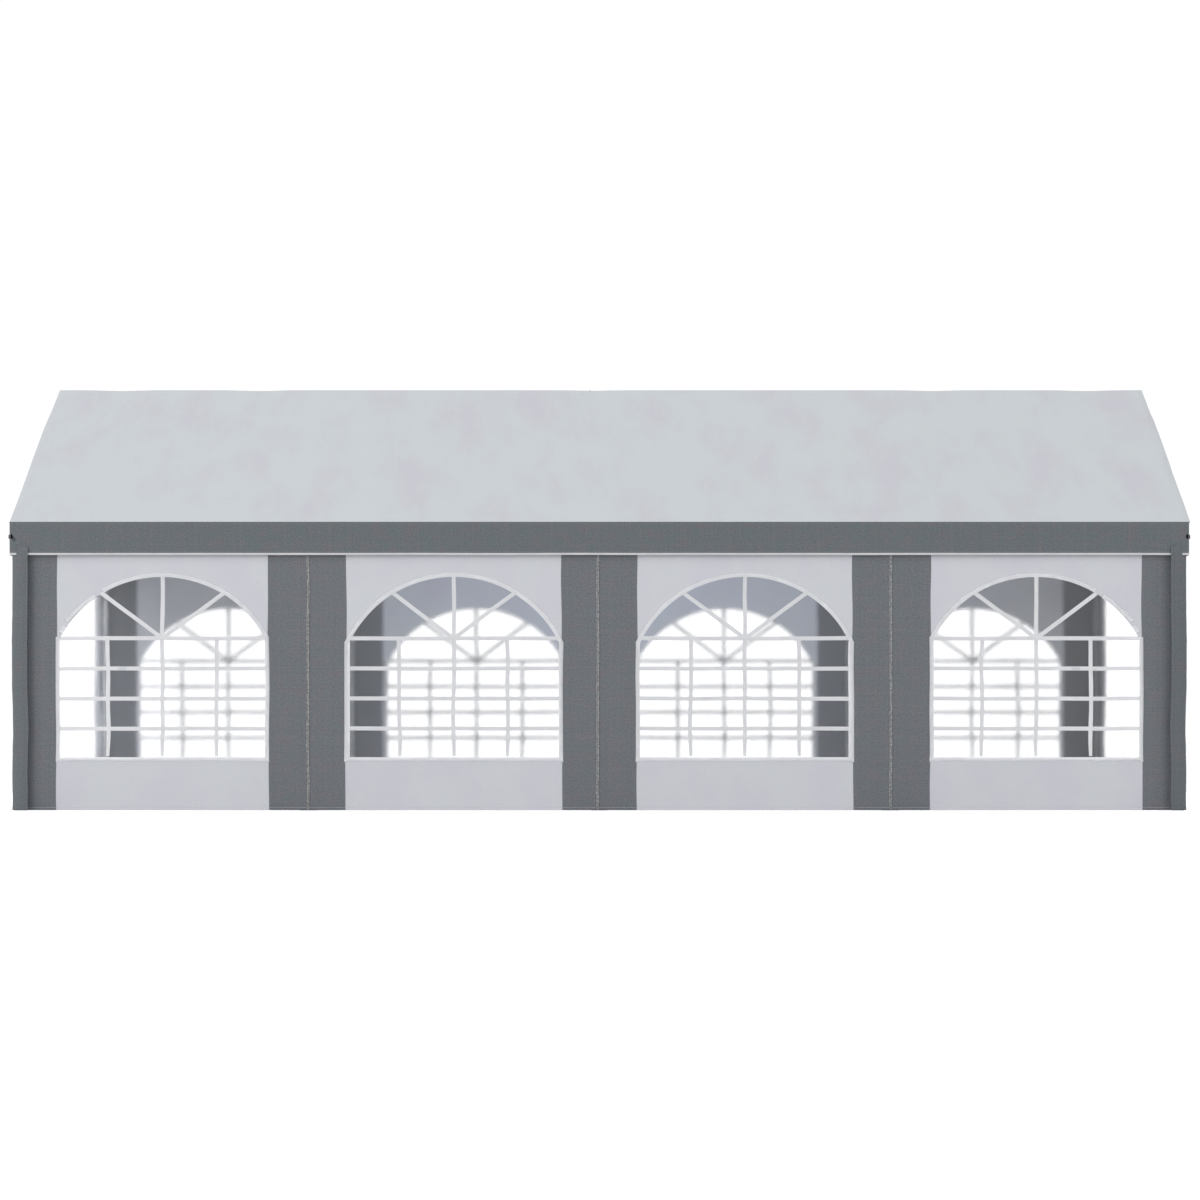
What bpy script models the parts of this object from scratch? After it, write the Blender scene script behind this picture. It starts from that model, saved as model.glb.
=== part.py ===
"""Garden marquee tent, 8 m long and 4 m wide.

A frame of round steel tubes carries a roof sheet with a hanging valance, eight side wall
panels with arched film windows, and two open ends with their door sheets rolled up.
Metres, +Z up, +X along the length, +Y away from the front. The origin is on the ground,
at the centre of the tent.
"""

import math

import bmesh
import bpy
from mathutils import Vector

# Driving dimensions
BAY = 2.0
BAY_COUNT = 4
LEG_SPAN = 4.0
TUBE_RADIUS = 0.019
SLEEVE_RADIUS = 0.021
STUB_RADIUS = 0.0205
STUB_LENGTH = 0.12
STUB_START = 0.0145
LEG_SHORTFALL = 0.008
RAIL_SLEEVE_REACH = 0.10
RAIL_END_REACH = 0.023
FOOT_SIZE = 0.11
FOOT_THICKNESS = 0.004
PEG_HOLE_RADIUS = 0.006

SHEET = 0.003
FILM = 0.002
GAP = 0.0003

ROOF_LENGTH = 8.10
ROOF_WIDTH = 4.096
RIDGE_HEIGHT = 3.130
EAVE_HEIGHT = 1.985
VALANCE_BOTTOM = 1.753
ROOF_CLEARANCE = 0.002

WALL_LENGTH = 8.06
WALL_FACE = 2.0255
WALL_BOTTOM = 0.003
WALL_TOP = 1.960

WINDOW_WIDTH = 1.485
WINDOW_SILL = 0.341
WINDOW_CROWN = 1.632
WINDOW_ARCH_RADIUS = 0.828
ARCH_STEPS = 24

FLAP_FACE = 2.0290
FLAP_WIDTH = 0.095
END_STRIP_WIDTH = 0.330
DOOR_ROLL_RADIUS = 0.060
DOOR_ROLL_INSET = 3.980
DOOR_ROLL_DROP = 0.087
DOOR_ROLL_CLEARANCE = 0.005

TUBE_SIDES = 16
ROLL_SIDES = 24
HOLE_SIDES = 12
MERGE_DISTANCE = 0.00005

# Sizes worked out from the driving dimensions
HALF_LENGTH = BAY * BAY_COUNT / 2
HALF_SPAN = LEG_SPAN / 2
HALF_ROOF_LENGTH = ROOF_LENGTH / 2
HALF_ROOF_WIDTH = ROOF_WIDTH / 2
STATIONS = [-HALF_LENGTH + BAY * i for i in range(BAY_COUNT + 1)]
ROOF_SLOPE = math.atan2(RIDGE_HEIGHT - EAVE_HEIGHT, HALF_ROOF_WIDTH)
SHEET_DROP = SHEET / math.cos(ROOF_SLOPE)
FRAME_DROP = (SHEET + SLEEVE_RADIUS + ROOF_CLEARANCE) / math.cos(ROOF_SLOPE)
RIDGE_RAIL_HEIGHT = RIDGE_HEIGHT - FRAME_DROP
EAVE_RAIL_HEIGHT = RIDGE_RAIL_HEIGHT - HALF_SPAN * math.tan(ROOF_SLOPE)
VALANCE_TOP = EAVE_HEIGHT - SHEET_DROP - 2 * GAP


def clear_scene():
    for obj in list(bpy.data.objects):
        bpy.data.objects.remove(obj, do_unlink=True)


def new_collection(name):
    collection = bpy.data.collections.new(name)
    bpy.context.scene.collection.children.link(collection)
    return collection


def new_material(name, color, roughness, metallic=0.0, alpha=1.0):
    material = bpy.data.materials.new(name)
    material.use_nodes = True
    shader = material.node_tree.nodes["Principled BSDF"]
    shader.inputs["Base Color"].default_value = (*color, 1.0)
    shader.inputs["Roughness"].default_value = roughness
    shader.inputs["Metallic"].default_value = metallic
    shader.inputs["Alpha"].default_value = alpha
    return material


clear_scene()
PARTS = new_collection("marquee_tent")
CUTTERS = new_collection("cutters")

STEEL = new_material("galvanised_steel", (0.50, 0.52, 0.55), 0.45, metallic=1.0)
ROOF_SHEET = new_material("roof_sheet", (0.60, 0.63, 0.66), 0.6)
WHITE_SHEET = new_material("wall_sheet", (0.56, 0.56, 0.62), 0.6)
GREY_SHEET = new_material("grey_sheet", (0.145, 0.16, 0.17), 0.6)
CLEAR_FILM = new_material("window_film", (0.85, 0.87, 0.90), 0.15, alpha=0.3)


def place(name, mesh, material, collection=None):
    """Link a mesh as a named part, or as a cutter where it has no material."""
    obj = bpy.data.objects.new(name, mesh)
    (collection or PARTS).objects.link(obj)
    if material:
        mesh.materials.clear()
        mesh.materials.append(material)
    return obj


def turned(name, start, end, profile, material, sides=TUBE_SIDES, collection=None):
    """A round bar from start towards end, turned from (distance, radius) pairs along it."""
    rim = [(0.0, profile[0][0])] + [(r, d) for d, r in profile] + [(0.0, profile[-1][0])]
    rim.reverse()
    mesh = bpy.data.meshes.new(name)
    edges = [(i, i + 1) for i in range(len(rim) - 1)]
    mesh.from_pydata([(r, 0.0, d) for r, d in rim], edges, [])
    obj = place(name, mesh, material, collection)
    obj.location = start
    obj.rotation_mode = "QUATERNION"
    obj.rotation_quaternion = (Vector(end) - Vector(start)).to_track_quat("Z", "Y")
    screw = obj.modifiers.new("turn", "SCREW")
    screw.axis = "Z"
    screw.steps = screw.render_steps = sides
    screw.use_merge_vertices = True
    screw.merge_threshold = MERGE_DISTANCE
    screw.use_smooth_shade = False
    return obj


def rod(name, start, end, radius, material, sides=TUBE_SIDES, collection=None):
    """A straight round rod between two points."""
    length = (Vector(end) - Vector(start)).length
    profile = [(0.0, radius), (length, radius)]
    return turned(name, start, end, profile, material, sides, collection)


def sleeved_tube(name, start, end, sleeves, material, collection=None):
    """A tube with thicker sleeves over the given (from, to) stretches, in order."""
    length = (Vector(end) - Vector(start)).length
    profile = []
    for low, high, radius in sleeves:
        if low > 0:
            profile += [(low, TUBE_RADIUS)]
        profile += [(low, radius), (high, radius)]
        if high < length:
            profile += [(high, TUBE_RADIUS)]
    if sleeves[0][0] > 0:
        profile.insert(0, (0.0, TUBE_RADIUS))
    if sleeves[-1][1] < length:
        profile.append((length, TUBE_RADIUS))
    return turned(name, start, end, profile, material, collection=collection)


def box(name, low, high, material, collection=None):
    """A rectangular block between its lowest and highest corners."""
    low, high = Vector(low), Vector(high)
    shape = bmesh.new()
    bmesh.ops.create_cube(shape, size=1.0)
    bmesh.ops.scale(shape, vec=high - low, verts=shape.verts)
    mesh = bpy.data.meshes.new(name)
    shape.to_mesh(mesh)
    shape.free()
    obj = place(name, mesh, material, collection)
    obj.location = (low + high) / 2
    return obj


def sheet(name, outlines, thickness, location, rotation, material):
    """A flat sheet from closed outlines; an outline inside another is a hole.

    The outlines lie in the curve's own XY plane and the thickness is shared equally
    between its two faces.
    """
    curve = bpy.data.curves.new(name, "CURVE")
    curve.dimensions = "2D"
    curve.fill_mode = "BOTH"
    curve.extrude = thickness / 2
    for outline in outlines:
        spline = curve.splines.new("POLY")
        spline.points.add(len(outline) - 1)
        for point, (u, v) in zip(spline.points, outline):
            point.co = (u, v, 0.0, 1.0)
        spline.use_cyclic_u = True
    guide = bpy.data.objects.new(name + "_outline", curve)
    CUTTERS.objects.link(guide)
    guide.location = location
    guide.rotation_euler = rotation
    bpy.context.view_layer.update()
    graph = bpy.context.evaluated_depsgraph_get()
    mesh = bpy.data.meshes.new_from_object(guide.evaluated_get(graph))
    shape = bmesh.new()
    shape.from_mesh(mesh)
    bmesh.ops.remove_doubles(shape, verts=shape.verts, dist=MERGE_DISTANCE)
    bmesh.ops.recalc_face_normals(shape, faces=shape.faces)
    shape.to_mesh(mesh)
    shape.free()
    obj = place(name, mesh, material)
    obj.matrix_world = guide.matrix_world.copy()
    bpy.data.objects.remove(guide, do_unlink=True)
    return obj


def combine(target, tools, operation):
    """Join the tools to the target, or cut them from it, and keep the target."""
    for tool in tools:
        tool.hide_render = True
        tool.display_type = "WIRE"
        boolean = target.modifiers.new(operation.lower(), "BOOLEAN")
        boolean.operation = operation
        boolean.solver = "EXACT"
        boolean.object = tool


def rectangle(left, right, bottom, top):
    return [(left, bottom), (right, bottom), (right, top), (left, top)]


def window_outline(centre, grow=0.0):
    """Straight sides under a round arch that meets them at a slight corner."""
    half = WINDOW_WIDTH / 2 + grow
    radius = WINDOW_ARCH_RADIUS + grow
    hub = WINDOW_CROWN - WINDOW_ARCH_RADIUS
    reach = math.asin(half / radius)
    points = [(centre - half, WINDOW_SILL - grow), (centre + half, WINDOW_SILL - grow)]
    for step in range(ARCH_STEPS + 1):
        angle = reach * (1 - 2 * step / ARCH_STEPS)
        points.append((centre + radius * math.sin(angle), hub + radius * math.cos(angle)))
    return points


def roof_underside(distance):
    """Height of the roof sheet's lower face at a distance from the ridge."""
    return RIDGE_HEIGHT - SHEET_DROP - distance * math.tan(ROOF_SLOPE)


# A sheet drawn in XY stands up facing the front, or facing the end of the tent
FACING_FRONT = (math.pi / 2, 0.0, 0.0)
FACING_END = (math.pi / 2, 0.0, math.pi / 2)
SIDES = {"front": -1, "back": 1}
ENDS = {"left": -1, "right": 1}


def slope_direction(side):
    """The way from the ridge down to the eave on one side."""
    return Vector((0.0, side * math.cos(ROOF_SLOPE), -math.sin(ROOF_SLOPE)))


def rail_cutter(name, x, y, z):
    """The space that a rail's sleeve takes at one frame, with a small gap."""
    return rod(
        name, (x - RAIL_SLEEVE_REACH, y, z), (x + RAIL_SLEEVE_REACH, y, z),
        SLEEVE_RADIUS + GAP, None, collection=CUTTERS,
    )


def make_rail(name, y, z):
    """Four poles in line, with a connector's sleeve over every joint between them."""
    end = HALF_LENGTH + RAIL_END_REACH
    sleeves = []
    for x in STATIONS:
        low = max(x - RAIL_SLEEVE_REACH, -end)
        high = min(x + RAIL_SLEEVE_REACH, end)
        sleeves.append((low + end, high + end, SLEEVE_RADIUS))
    sleeved_tube(name, (-end, y, z), (end, y, z), sleeves, STEEL)


def make_leg(name, x, side):
    """A leg on a square foot plate with two peg holes, its top in a connector's sleeve."""
    y = side * HALF_SPAN
    reach = TUBE_RADIUS + GAP
    inner = y - side * (FOOT_SIZE - reach)
    outer = y + side * reach
    left = max(x - FOOT_SIZE / 2, -HALF_LENGTH - reach)
    right = min(x + FOOT_SIZE / 2, HALF_LENGTH + reach)
    low = (left, min(inner, outer), 0.0)
    high = (right, max(inner, outer), FOOT_THICKNESS)
    leg = box(name, low, high, STEEL)
    bottom = (x, y, FOOT_THICKNESS / 2)
    top = (x, y, EAVE_RAIL_HEIGHT - LEG_SHORTFALL)
    length = top[2] - bottom[2]
    sleeve = (length - STUB_LENGTH + LEG_SHORTFALL, length, STUB_RADIUS)
    tube = sleeved_tube(name + "_tube", bottom, top, [sleeve], None, CUTTERS)
    combine(leg, [tube], "UNION")
    cutters = [rail_cutter(name + "_rail", x, y, EAVE_RAIL_HEIGHT)]
    hole_y = y - side * (FOOT_SIZE - 2 * reach)
    for index, hole_x in enumerate((left + reach, right - reach)):
        below = (hole_x, hole_y, -FOOT_THICKNESS)
        above = (hole_x, hole_y, 2 * FOOT_THICKNESS)
        hole_name = f"{name}_hole_{index}"
        cutters.append(rod(hole_name, below, above, PEG_HOLE_RADIUS, None, HOLE_SIDES, CUTTERS))
    combine(leg, cutters, "DIFFERENCE")


def make_rafter(name, x, side):
    """A rafter with its ends in the sleeves of the eave and ridge connectors."""
    eave = Vector((x, side * HALF_SPAN, EAVE_RAIL_HEIGHT))
    ridge = Vector((x, 0.0, RIDGE_RAIL_HEIGHT))
    inset = slope_direction(side) * STUB_START
    start, end = eave - inset, ridge + inset
    length = (end - start).length
    stub = STUB_LENGTH - STUB_START
    sleeves = [(0.0, stub, STUB_RADIUS), (length - stub, length, STUB_RADIUS)]
    rafter = sleeved_tube(name, start, end, sleeves, STEEL)
    cutters = [rail_cutter(name + "_eave", *eave), rail_cutter(name + "_ridge", *ridge)]
    combine(rafter, cutters, "DIFFERENCE")


def make_gable_rail(name, x):
    """A bar across one end, its ends in sleeves that pass under the rafters' sleeves."""
    reach = HALF_SPAN - SLEEVE_RADIUS - GAP
    start, end = Vector((x, -reach, EAVE_RAIL_HEIGHT)), Vector((x, reach, EAVE_RAIL_HEIGHT))
    length, stub = 2 * reach, STUB_LENGTH - SLEEVE_RADIUS
    sleeves = [(0.0, stub, STUB_RADIUS), (length - stub, length, STUB_RADIUS)]
    rail = sleeved_tube(name, start, end, sleeves, STEEL)
    cutters = []
    for side_name, side in SIDES.items():
        eave = Vector((x, side * HALF_SPAN, EAVE_RAIL_HEIGHT))
        tip = eave - slope_direction(side) * STUB_LENGTH
        cutter_name = f"{name}_{side_name}"
        cutters.append(rod(cutter_name, eave, tip, STUB_RADIUS + GAP, None, collection=CUTTERS))
    combine(rail, cutters, "DIFFERENCE")


def make_frame():
    make_rail("ridge_rail", 0.0, RIDGE_RAIL_HEIGHT)
    for side_name, side in SIDES.items():
        make_rail(f"eave_rail_{side_name}", side * HALF_SPAN, EAVE_RAIL_HEIGHT)
        for number, x in enumerate(STATIONS, start=1):
            make_leg(f"leg_{side_name}_{number}", x, side)
            make_rafter(f"rafter_{side_name}_{number}", x, side)
    for end_name, end in ENDS.items():
        make_gable_rail(f"gable_rail_{end_name}", end * HALF_LENGTH)


def make_side_walls():
    """Four panels a side, each with an arched window and its clear film."""
    end = WALL_LENGTH / 2 - SHEET - GAP
    for side_name, side in SIDES.items():
        middle = side * (WALL_FACE - SHEET / 2)
        for number in range(1, BAY_COUNT + 1):
            left, right = STATIONS[number - 1], STATIONS[number]
            centre = (left + right) / 2
            left = -end if number == 1 else left + GAP / 2
            right = end if number == BAY_COUNT else right - GAP / 2
            sheet(
                f"sidewall_{side_name}_{number}",
                [rectangle(left, right, WALL_BOTTOM, WALL_TOP), window_outline(centre, GAP)],
                SHEET, (0.0, middle, 0.0), FACING_FRONT, WHITE_SHEET,
            )
            sheet(
                f"window_{side_name}_{number}", [window_outline(centre)],
                FILM, (0.0, middle, 0.0), FACING_FRONT, CLEAR_FILM,
            )


def make_end_walls():
    """Beside each doorway a strip that wraps round the corner as a flap."""
    outer = WALL_LENGTH / 2
    height = WALL_TOP - WALL_BOTTOM
    middle = (WALL_TOP + WALL_BOTTOM) / 2
    for end_name, end in ENDS.items():
        for side_name, side in SIDES.items():
            corner_x, corner_y = end * outer, side * FLAP_FACE
            strip_y = corner_y - side * END_STRIP_WIDTH
            flap_x = corner_x - end * (FLAP_WIDTH + SHEET)
            inner_x, inner_y = corner_x - end * SHEET, corner_y - side * SHEET
            plan = [
                (corner_x, corner_y), (corner_x, strip_y), (inner_x, strip_y),
                (inner_x, inner_y), (flap_x, inner_y), (flap_x, corner_y),
            ]
            sheet(
                f"end_wall_{end_name}_{side_name}", [plan], height,
                (0.0, 0.0, middle), (0.0, 0.0, 0.0), WHITE_SHEET,
            )


def make_doors():
    """The two door sheets, rolled up and tied under the gable rails."""
    reach = FLAP_FACE - END_STRIP_WIDTH - DOOR_ROLL_CLEARANCE
    height = EAVE_RAIL_HEIGHT - DOOR_ROLL_DROP
    for end_name, end in ENDS.items():
        x = end * DOOR_ROLL_INSET
        rod(
            f"door_roll_{end_name}", (x, -reach, height), (x, reach, height),
            DOOR_ROLL_RADIUS, WHITE_SHEET, ROLL_SIDES,
        )


def make_roof():
    """Two slopes, two gables and the valance that hangs round all four sides."""
    across = HALF_ROOF_WIDTH - SHEET
    for side_name, side in SIDES.items():
        slope = [
            (side * GAP / 2, RIDGE_HEIGHT), (side * HALF_ROOF_WIDTH, EAVE_HEIGHT),
            (side * HALF_ROOF_WIDTH, EAVE_HEIGHT - SHEET_DROP),
            (side * GAP / 2, RIDGE_HEIGHT - SHEET_DROP),
        ]
        sheet(
            f"roof_cover_{side_name}", [slope], ROOF_LENGTH, (0.0, 0.0, 0.0),
            FACING_END, ROOF_SHEET,
        )
        sheet(
            f"valance_{side_name}",
            [rectangle(-HALF_ROOF_LENGTH, HALF_ROOF_LENGTH, VALANCE_BOTTOM, VALANCE_TOP)],
            SHEET, (0.0, side * (HALF_ROOF_WIDTH - SHEET / 2), 0.0),
            FACING_FRONT, GREY_SHEET,
        )
    gable_half = across - GAP
    gable = [
        (-gable_half, VALANCE_TOP + GAP), (gable_half, VALANCE_TOP + GAP),
        (gable_half, roof_underside(gable_half) - GAP), (0.0, roof_underside(0.0) - GAP),
        (-gable_half, roof_underside(gable_half) - GAP),
    ]
    for end_name, end in ENDS.items():
        x = end * (HALF_ROOF_LENGTH - SHEET / 2)
        sheet(
            f"valance_{end_name}",
            [rectangle(-gable_half, gable_half, VALANCE_BOTTOM, VALANCE_TOP)],
            SHEET, (x, 0.0, 0.0), FACING_END, GREY_SHEET,
        )
        sheet(f"gable_{end_name}", [gable], SHEET, (x, 0.0, 0.0), FACING_END, ROOF_SHEET)


make_frame()
make_side_walls()
make_end_walls()
make_doors()
make_roof()
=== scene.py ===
"""Looks of the garden marquee tent: steel frame, sewn sheets, clear windows and binding."""

import math

import bmesh
import bpy
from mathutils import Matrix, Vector, noise


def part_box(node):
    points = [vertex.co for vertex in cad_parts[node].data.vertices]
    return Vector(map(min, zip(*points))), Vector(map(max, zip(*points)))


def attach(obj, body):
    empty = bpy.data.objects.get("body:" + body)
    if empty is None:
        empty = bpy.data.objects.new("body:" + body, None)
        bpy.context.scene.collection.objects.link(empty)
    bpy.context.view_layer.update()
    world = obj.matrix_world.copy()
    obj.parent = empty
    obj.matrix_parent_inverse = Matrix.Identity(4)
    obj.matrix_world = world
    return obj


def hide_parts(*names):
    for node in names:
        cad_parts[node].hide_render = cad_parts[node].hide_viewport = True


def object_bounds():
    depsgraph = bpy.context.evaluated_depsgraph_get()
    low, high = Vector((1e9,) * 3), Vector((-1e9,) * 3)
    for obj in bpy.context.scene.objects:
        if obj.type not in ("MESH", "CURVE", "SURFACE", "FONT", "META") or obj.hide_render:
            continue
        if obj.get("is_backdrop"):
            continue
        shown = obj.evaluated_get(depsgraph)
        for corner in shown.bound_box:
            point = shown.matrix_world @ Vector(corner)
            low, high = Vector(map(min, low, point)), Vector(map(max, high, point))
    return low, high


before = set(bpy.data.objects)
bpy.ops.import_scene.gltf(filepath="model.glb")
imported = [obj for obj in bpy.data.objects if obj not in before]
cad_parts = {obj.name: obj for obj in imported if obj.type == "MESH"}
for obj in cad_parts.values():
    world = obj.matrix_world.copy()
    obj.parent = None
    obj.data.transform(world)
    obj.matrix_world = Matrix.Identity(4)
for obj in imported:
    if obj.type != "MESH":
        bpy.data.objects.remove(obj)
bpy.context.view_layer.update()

# Frame poles
# Zinc-coated steel tube, 38 mm across. Legs, rafters, rails and end bars are straight lengths
# that are pushed into the sleeves of the connectors.


def middle(node):
    low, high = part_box(node)
    return (low + high) / 2


EAVE_Z = middle("eave_rail_front").z
RIDGE_Z = middle("ridge_rail").z
SPAN = middle("eave_rail_back").y
STATIONS = [middle("gable_rail_left").x]
STATIONS += [middle(f"leg_front_{number}").x for number in (2, 3, 4)]
STATIONS += [middle("gable_rail_right").x]
BAY = STATIONS[1] - STATIONS[0]
SIDES = {"front": -1, "back": 1}
ENDS = {"left": -1, "right": 1}
SLOPE = math.atan2(RIDGE_Z - EAVE_Z, SPAN)
POLE_RADIUS = 0.019
ROUND = 32


def measured(rows, around, closed):
    """Cut coordinates in metres for a grid of points, measured along its rows and columns."""
    heights = [0.0]
    for upper, lower in zip(rows[1:] + rows[:1], rows):
        heights.append(heights[-1] + (upper[0] - lower[0]).length)
    cuts = []
    for row, height in zip(rows + rows[:1], heights):
        along = [0.0]
        for this, after in zip(row, row[1:] + row[:1]):
            along.append(along[-1] + (after - this).length)
        cuts.append([(distance, height) for distance in along])
    return cuts


class Patchwork:
    """Grids of points gathered into one mesh, with a cut coordinate in metres for each."""

    def __init__(self):
        self.points, self.faces, self.cuts = [], [], []

    def add(self, rows, cuts=None, around=False, closed=False, keep=None, caps=False):
        """Add rows of points; around joins each row's ends, and closed the last row to the first."""
        start, width, height = len(self.points), len(rows[0]), len(rows)
        self.points += [point for row in rows for point in row]
        cuts = cuts or measured(rows, around, closed)
        for j in range(height if closed else height - 1):
            for i in range(width if around else width - 1):
                if keep and not keep(i, j):
                    continue
                right, up = (i + 1) % width, (j + 1) % height
                corners = [(j, i), (j, right), (up, right), (up, i)]
                self.faces.append([start + width * row + column for row, column in corners])
                self.cuts += [cuts[j][i], cuts[j][i + 1], cuts[j + 1][i + 1], cuts[j + 1][i]]
        if caps:
            for row in (0, height - 1):
                self.faces.append([start + width * row + i for i in range(width)])
                self.cuts += cuts[row][:width]

    def sew(self, name, material, slot, replaces=(), thickness=0.0, weld=0.0):
        """Make the mesh object, smooth but for its sharp edges, and let it ride on the tent."""
        mesh = bpy.data.meshes.new(name)
        mesh.from_pydata(self.points, [], self.faces)
        layer = mesh.uv_layers.new(name="cut")
        layer.data.foreach_set("uv", [value for cut in self.cuts for value in cut])
        shape = bmesh.new()
        shape.from_mesh(mesh)
        loose = [vert for vert in shape.verts if not vert.link_faces]
        bmesh.ops.delete(shape, geom=loose, context="VERTS")
        if weld:
            bmesh.ops.remove_doubles(shape, verts=shape.verts, dist=weld)
        bmesh.ops.recalc_face_normals(shape, faces=shape.faces)
        for edge in shape.edges:
            turn = edge.calc_face_angle(math.pi)
            edge.smooth = turn < math.radians(38)
        shape.to_mesh(mesh)
        shape.free()
        for polygon in mesh.polygons:
            polygon.use_smooth = True
        mesh.materials.append(material)
        piece = bpy.data.objects.new(name, mesh)
        bpy.context.scene.collection.objects.link(piece)
        if thickness:
            solid = piece.modifiers.new("thickness", "SOLIDIFY")
            solid.thickness = thickness
            solid.offset = 0.0
        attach(piece, "root")
        if replaces:
            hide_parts(*replaces)
        return piece


def turn(work, start, end, profile, sides=ROUND, closed=False):
    """Add a round bar from start towards end, turned from (distance, radius) pairs."""
    axis = (end - start).normalized()
    across = axis.orthogonal().normalized()
    other = axis.cross(across)
    rows = []
    for distance, radius in profile:
        centre = start + axis * distance
        row = []
        for step in range(sides):
            angle = 2 * math.pi * step / sides
            row.append(centre + radius * (math.cos(angle) * across + math.sin(angle) * other))
        rows.append(row)
    work.add(rows, around=True, closed=closed, caps=not closed)


def down_slope(side, distance):
    """The way from the ridge down one roof slope."""
    return distance * Vector((0.0, side * math.cos(SLOPE), -math.sin(SLOPE)))


def add_node(tree, kind, inputs, **settings):
    """Add a shader node, with its fields set and its inputs linked or filled in."""
    node = tree.nodes.new("ShaderNode" + kind)
    for field, value in settings.items():
        setattr(node, field, value)
    for key, value in inputs.items():
        if isinstance(value, bpy.types.NodeSocket):
            tree.links.new(value, node.inputs[key])
        else:
            node.inputs[key].default_value = value
    return node


def calculate(tree, operation, *values, clamp=False):
    node = add_node(tree, "Math", dict(enumerate(values)), operation=operation, use_clamp=clamp)
    return node.outputs[0]


def blend_colours(tree, share, first, second):
    """Mix two colours by a share, each a socket or linear red, green and blue."""
    inputs = {0: share}
    for index, colour in ((6, first), (7, second)):
        inputs[index] = colour if isinstance(colour, bpy.types.NodeSocket) else (*colour, 1.0)
    return add_node(tree, "Mix", inputs, data_type="RGBA").outputs[2]


def soft_step(tree, value, low, high):
    inputs = {"Value": value, "From Min": low, "From Max": high}
    return add_node(tree, "MapRange", inputs, interpolation_type="SMOOTHSTEP").outputs[0]


def new_material(name, roughness, **fields):
    """A material with a Principled shader; fields are constants on the shader's sockets."""
    material = bpy.data.materials.new(name)
    material.use_nodes = True
    tree = material.node_tree
    shader = tree.nodes["Principled BSDF"]
    shader.inputs["Roughness"].default_value = roughness
    for field, value in fields.items():
        shader.inputs[field.replace("_", " ")].default_value = value
    return material, tree, shader


def connect(tree, output, node, key):
    tree.links.new(output, node.inputs[key])


def make_zinc():
    """Dull zinc coat: pale crystals a few millimetres wide, and a little cloudiness."""
    material, tree, shader = new_material("zinc_coated_steel", 0.42, Metallic=1.0)
    place = add_node(tree, "TexCoord", {}).outputs["Object"]
    crystals = add_node(tree, "TexVoronoi", {"Vector": place, "Scale": 160.0})
    cloud = add_node(tree, "TexNoise", {"Vector": place, "Scale": 9.0, "Detail": 4.0})
    grey = add_node(tree, "SeparateColor", {0: crystals.outputs["Color"]}).outputs[0]
    share = calculate(tree, "MULTIPLY_ADD", grey, 0.45, cloud.outputs[0])
    share = soft_step(tree, share, 0.35, 1.0)
    colour = blend_colours(tree, share, (0.31, 0.32, 0.335), (0.49, 0.50, 0.515))
    connect(tree, colour, shader, "Base Color")
    rough = calculate(tree, "MULTIPLY_ADD", share, 0.2, 0.34)
    connect(tree, rough, shader, "Roughness")
    bump = add_node(tree, "Bump", {"Strength": 0.15, "Distance": 0.0004, "Height": share})
    connect(tree, bump.outputs[0], shader, "Normal")
    return material


ZINC = make_zinc()
POLE_INSERT = 0.03

for side_name, side in SIDES.items():
    for number, x in enumerate(STATIONS, start=1):
        leg = Patchwork()
        foot = Vector((x, side * SPAN, 0.002))
        length = EAVE_Z - POLE_INSERT - foot.z
        turn(leg, foot, foot + Vector((0, 0, 1)), [(0, POLE_RADIUS), (length, POLE_RADIUS)])
        leg.sew(f"leg_pole_{side_name}_{number}", ZINC, "steel", [f"leg_{side_name}_{number}"])

        rafter = Patchwork()
        ridge = Vector((x, 0.0, RIDGE_Z)) + down_slope(side, POLE_INSERT)
        length = SPAN / math.cos(SLOPE) - 2 * POLE_INSERT
        profile = [(0, POLE_RADIUS), (length, POLE_RADIUS)]
        turn(rafter, ridge, ridge + down_slope(side, 1.0), profile)
        rafter.sew(
            f"rafter_pole_{side_name}_{number}", ZINC, "steel", [f"rafter_{side_name}_{number}"]
        )

rails = {"ridge_rail": (0.0, RIDGE_Z)}
rails.update({f"eave_rail_{name}": (side * SPAN, EAVE_Z) for name, side in SIDES.items()})
for rail_name, (y, z) in rails.items():
    rail = Patchwork()
    for left, right in zip(STATIONS, STATIONS[1:]):
        start, end = Vector((left + 0.004, y, z)), Vector((right - 0.004, y, z))
        profile = [(0, POLE_RADIUS), ((end - start).length, POLE_RADIUS)]
        turn(rail, start, end, profile)
    rail.sew(f"{rail_name}_poles", ZINC, "steel", [rail_name])

for end_name, end in ENDS.items():
    bar = Patchwork()
    start = Vector((end * STATIONS[-1], -SPAN + POLE_INSERT, EAVE_Z))
    stop = Vector((end * STATIONS[-1], SPAN - POLE_INSERT, EAVE_Z))
    turn(bar, start, stop, [(0, POLE_RADIUS), ((stop - start).length, POLE_RADIUS)])
    bar.sew(f"end_bar_{end_name}", ZINC, "steel", [f"gable_rail_{end_name}"])

# Foot plates
# Square steel plates, 4 mm thick, welded under the legs, each with two holes for ground pegs.
# They point into the tent, and those at the corners are cut off flush with the wall.
PLATE_SIZE = 0.11
PLATE_THICKNESS = 0.004
PLATE_EDGE = 0.0007
PEG_HOLE_RADIUS = 0.006
PLATE_MARGIN = POLE_RADIUS + 0.0003


def circle(centre, radius, steps):
    angles = [2 * math.pi * step / steps for step in range(steps)]
    return [centre + radius * Vector((math.cos(a), math.sin(a))) for a in angles]


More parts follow.
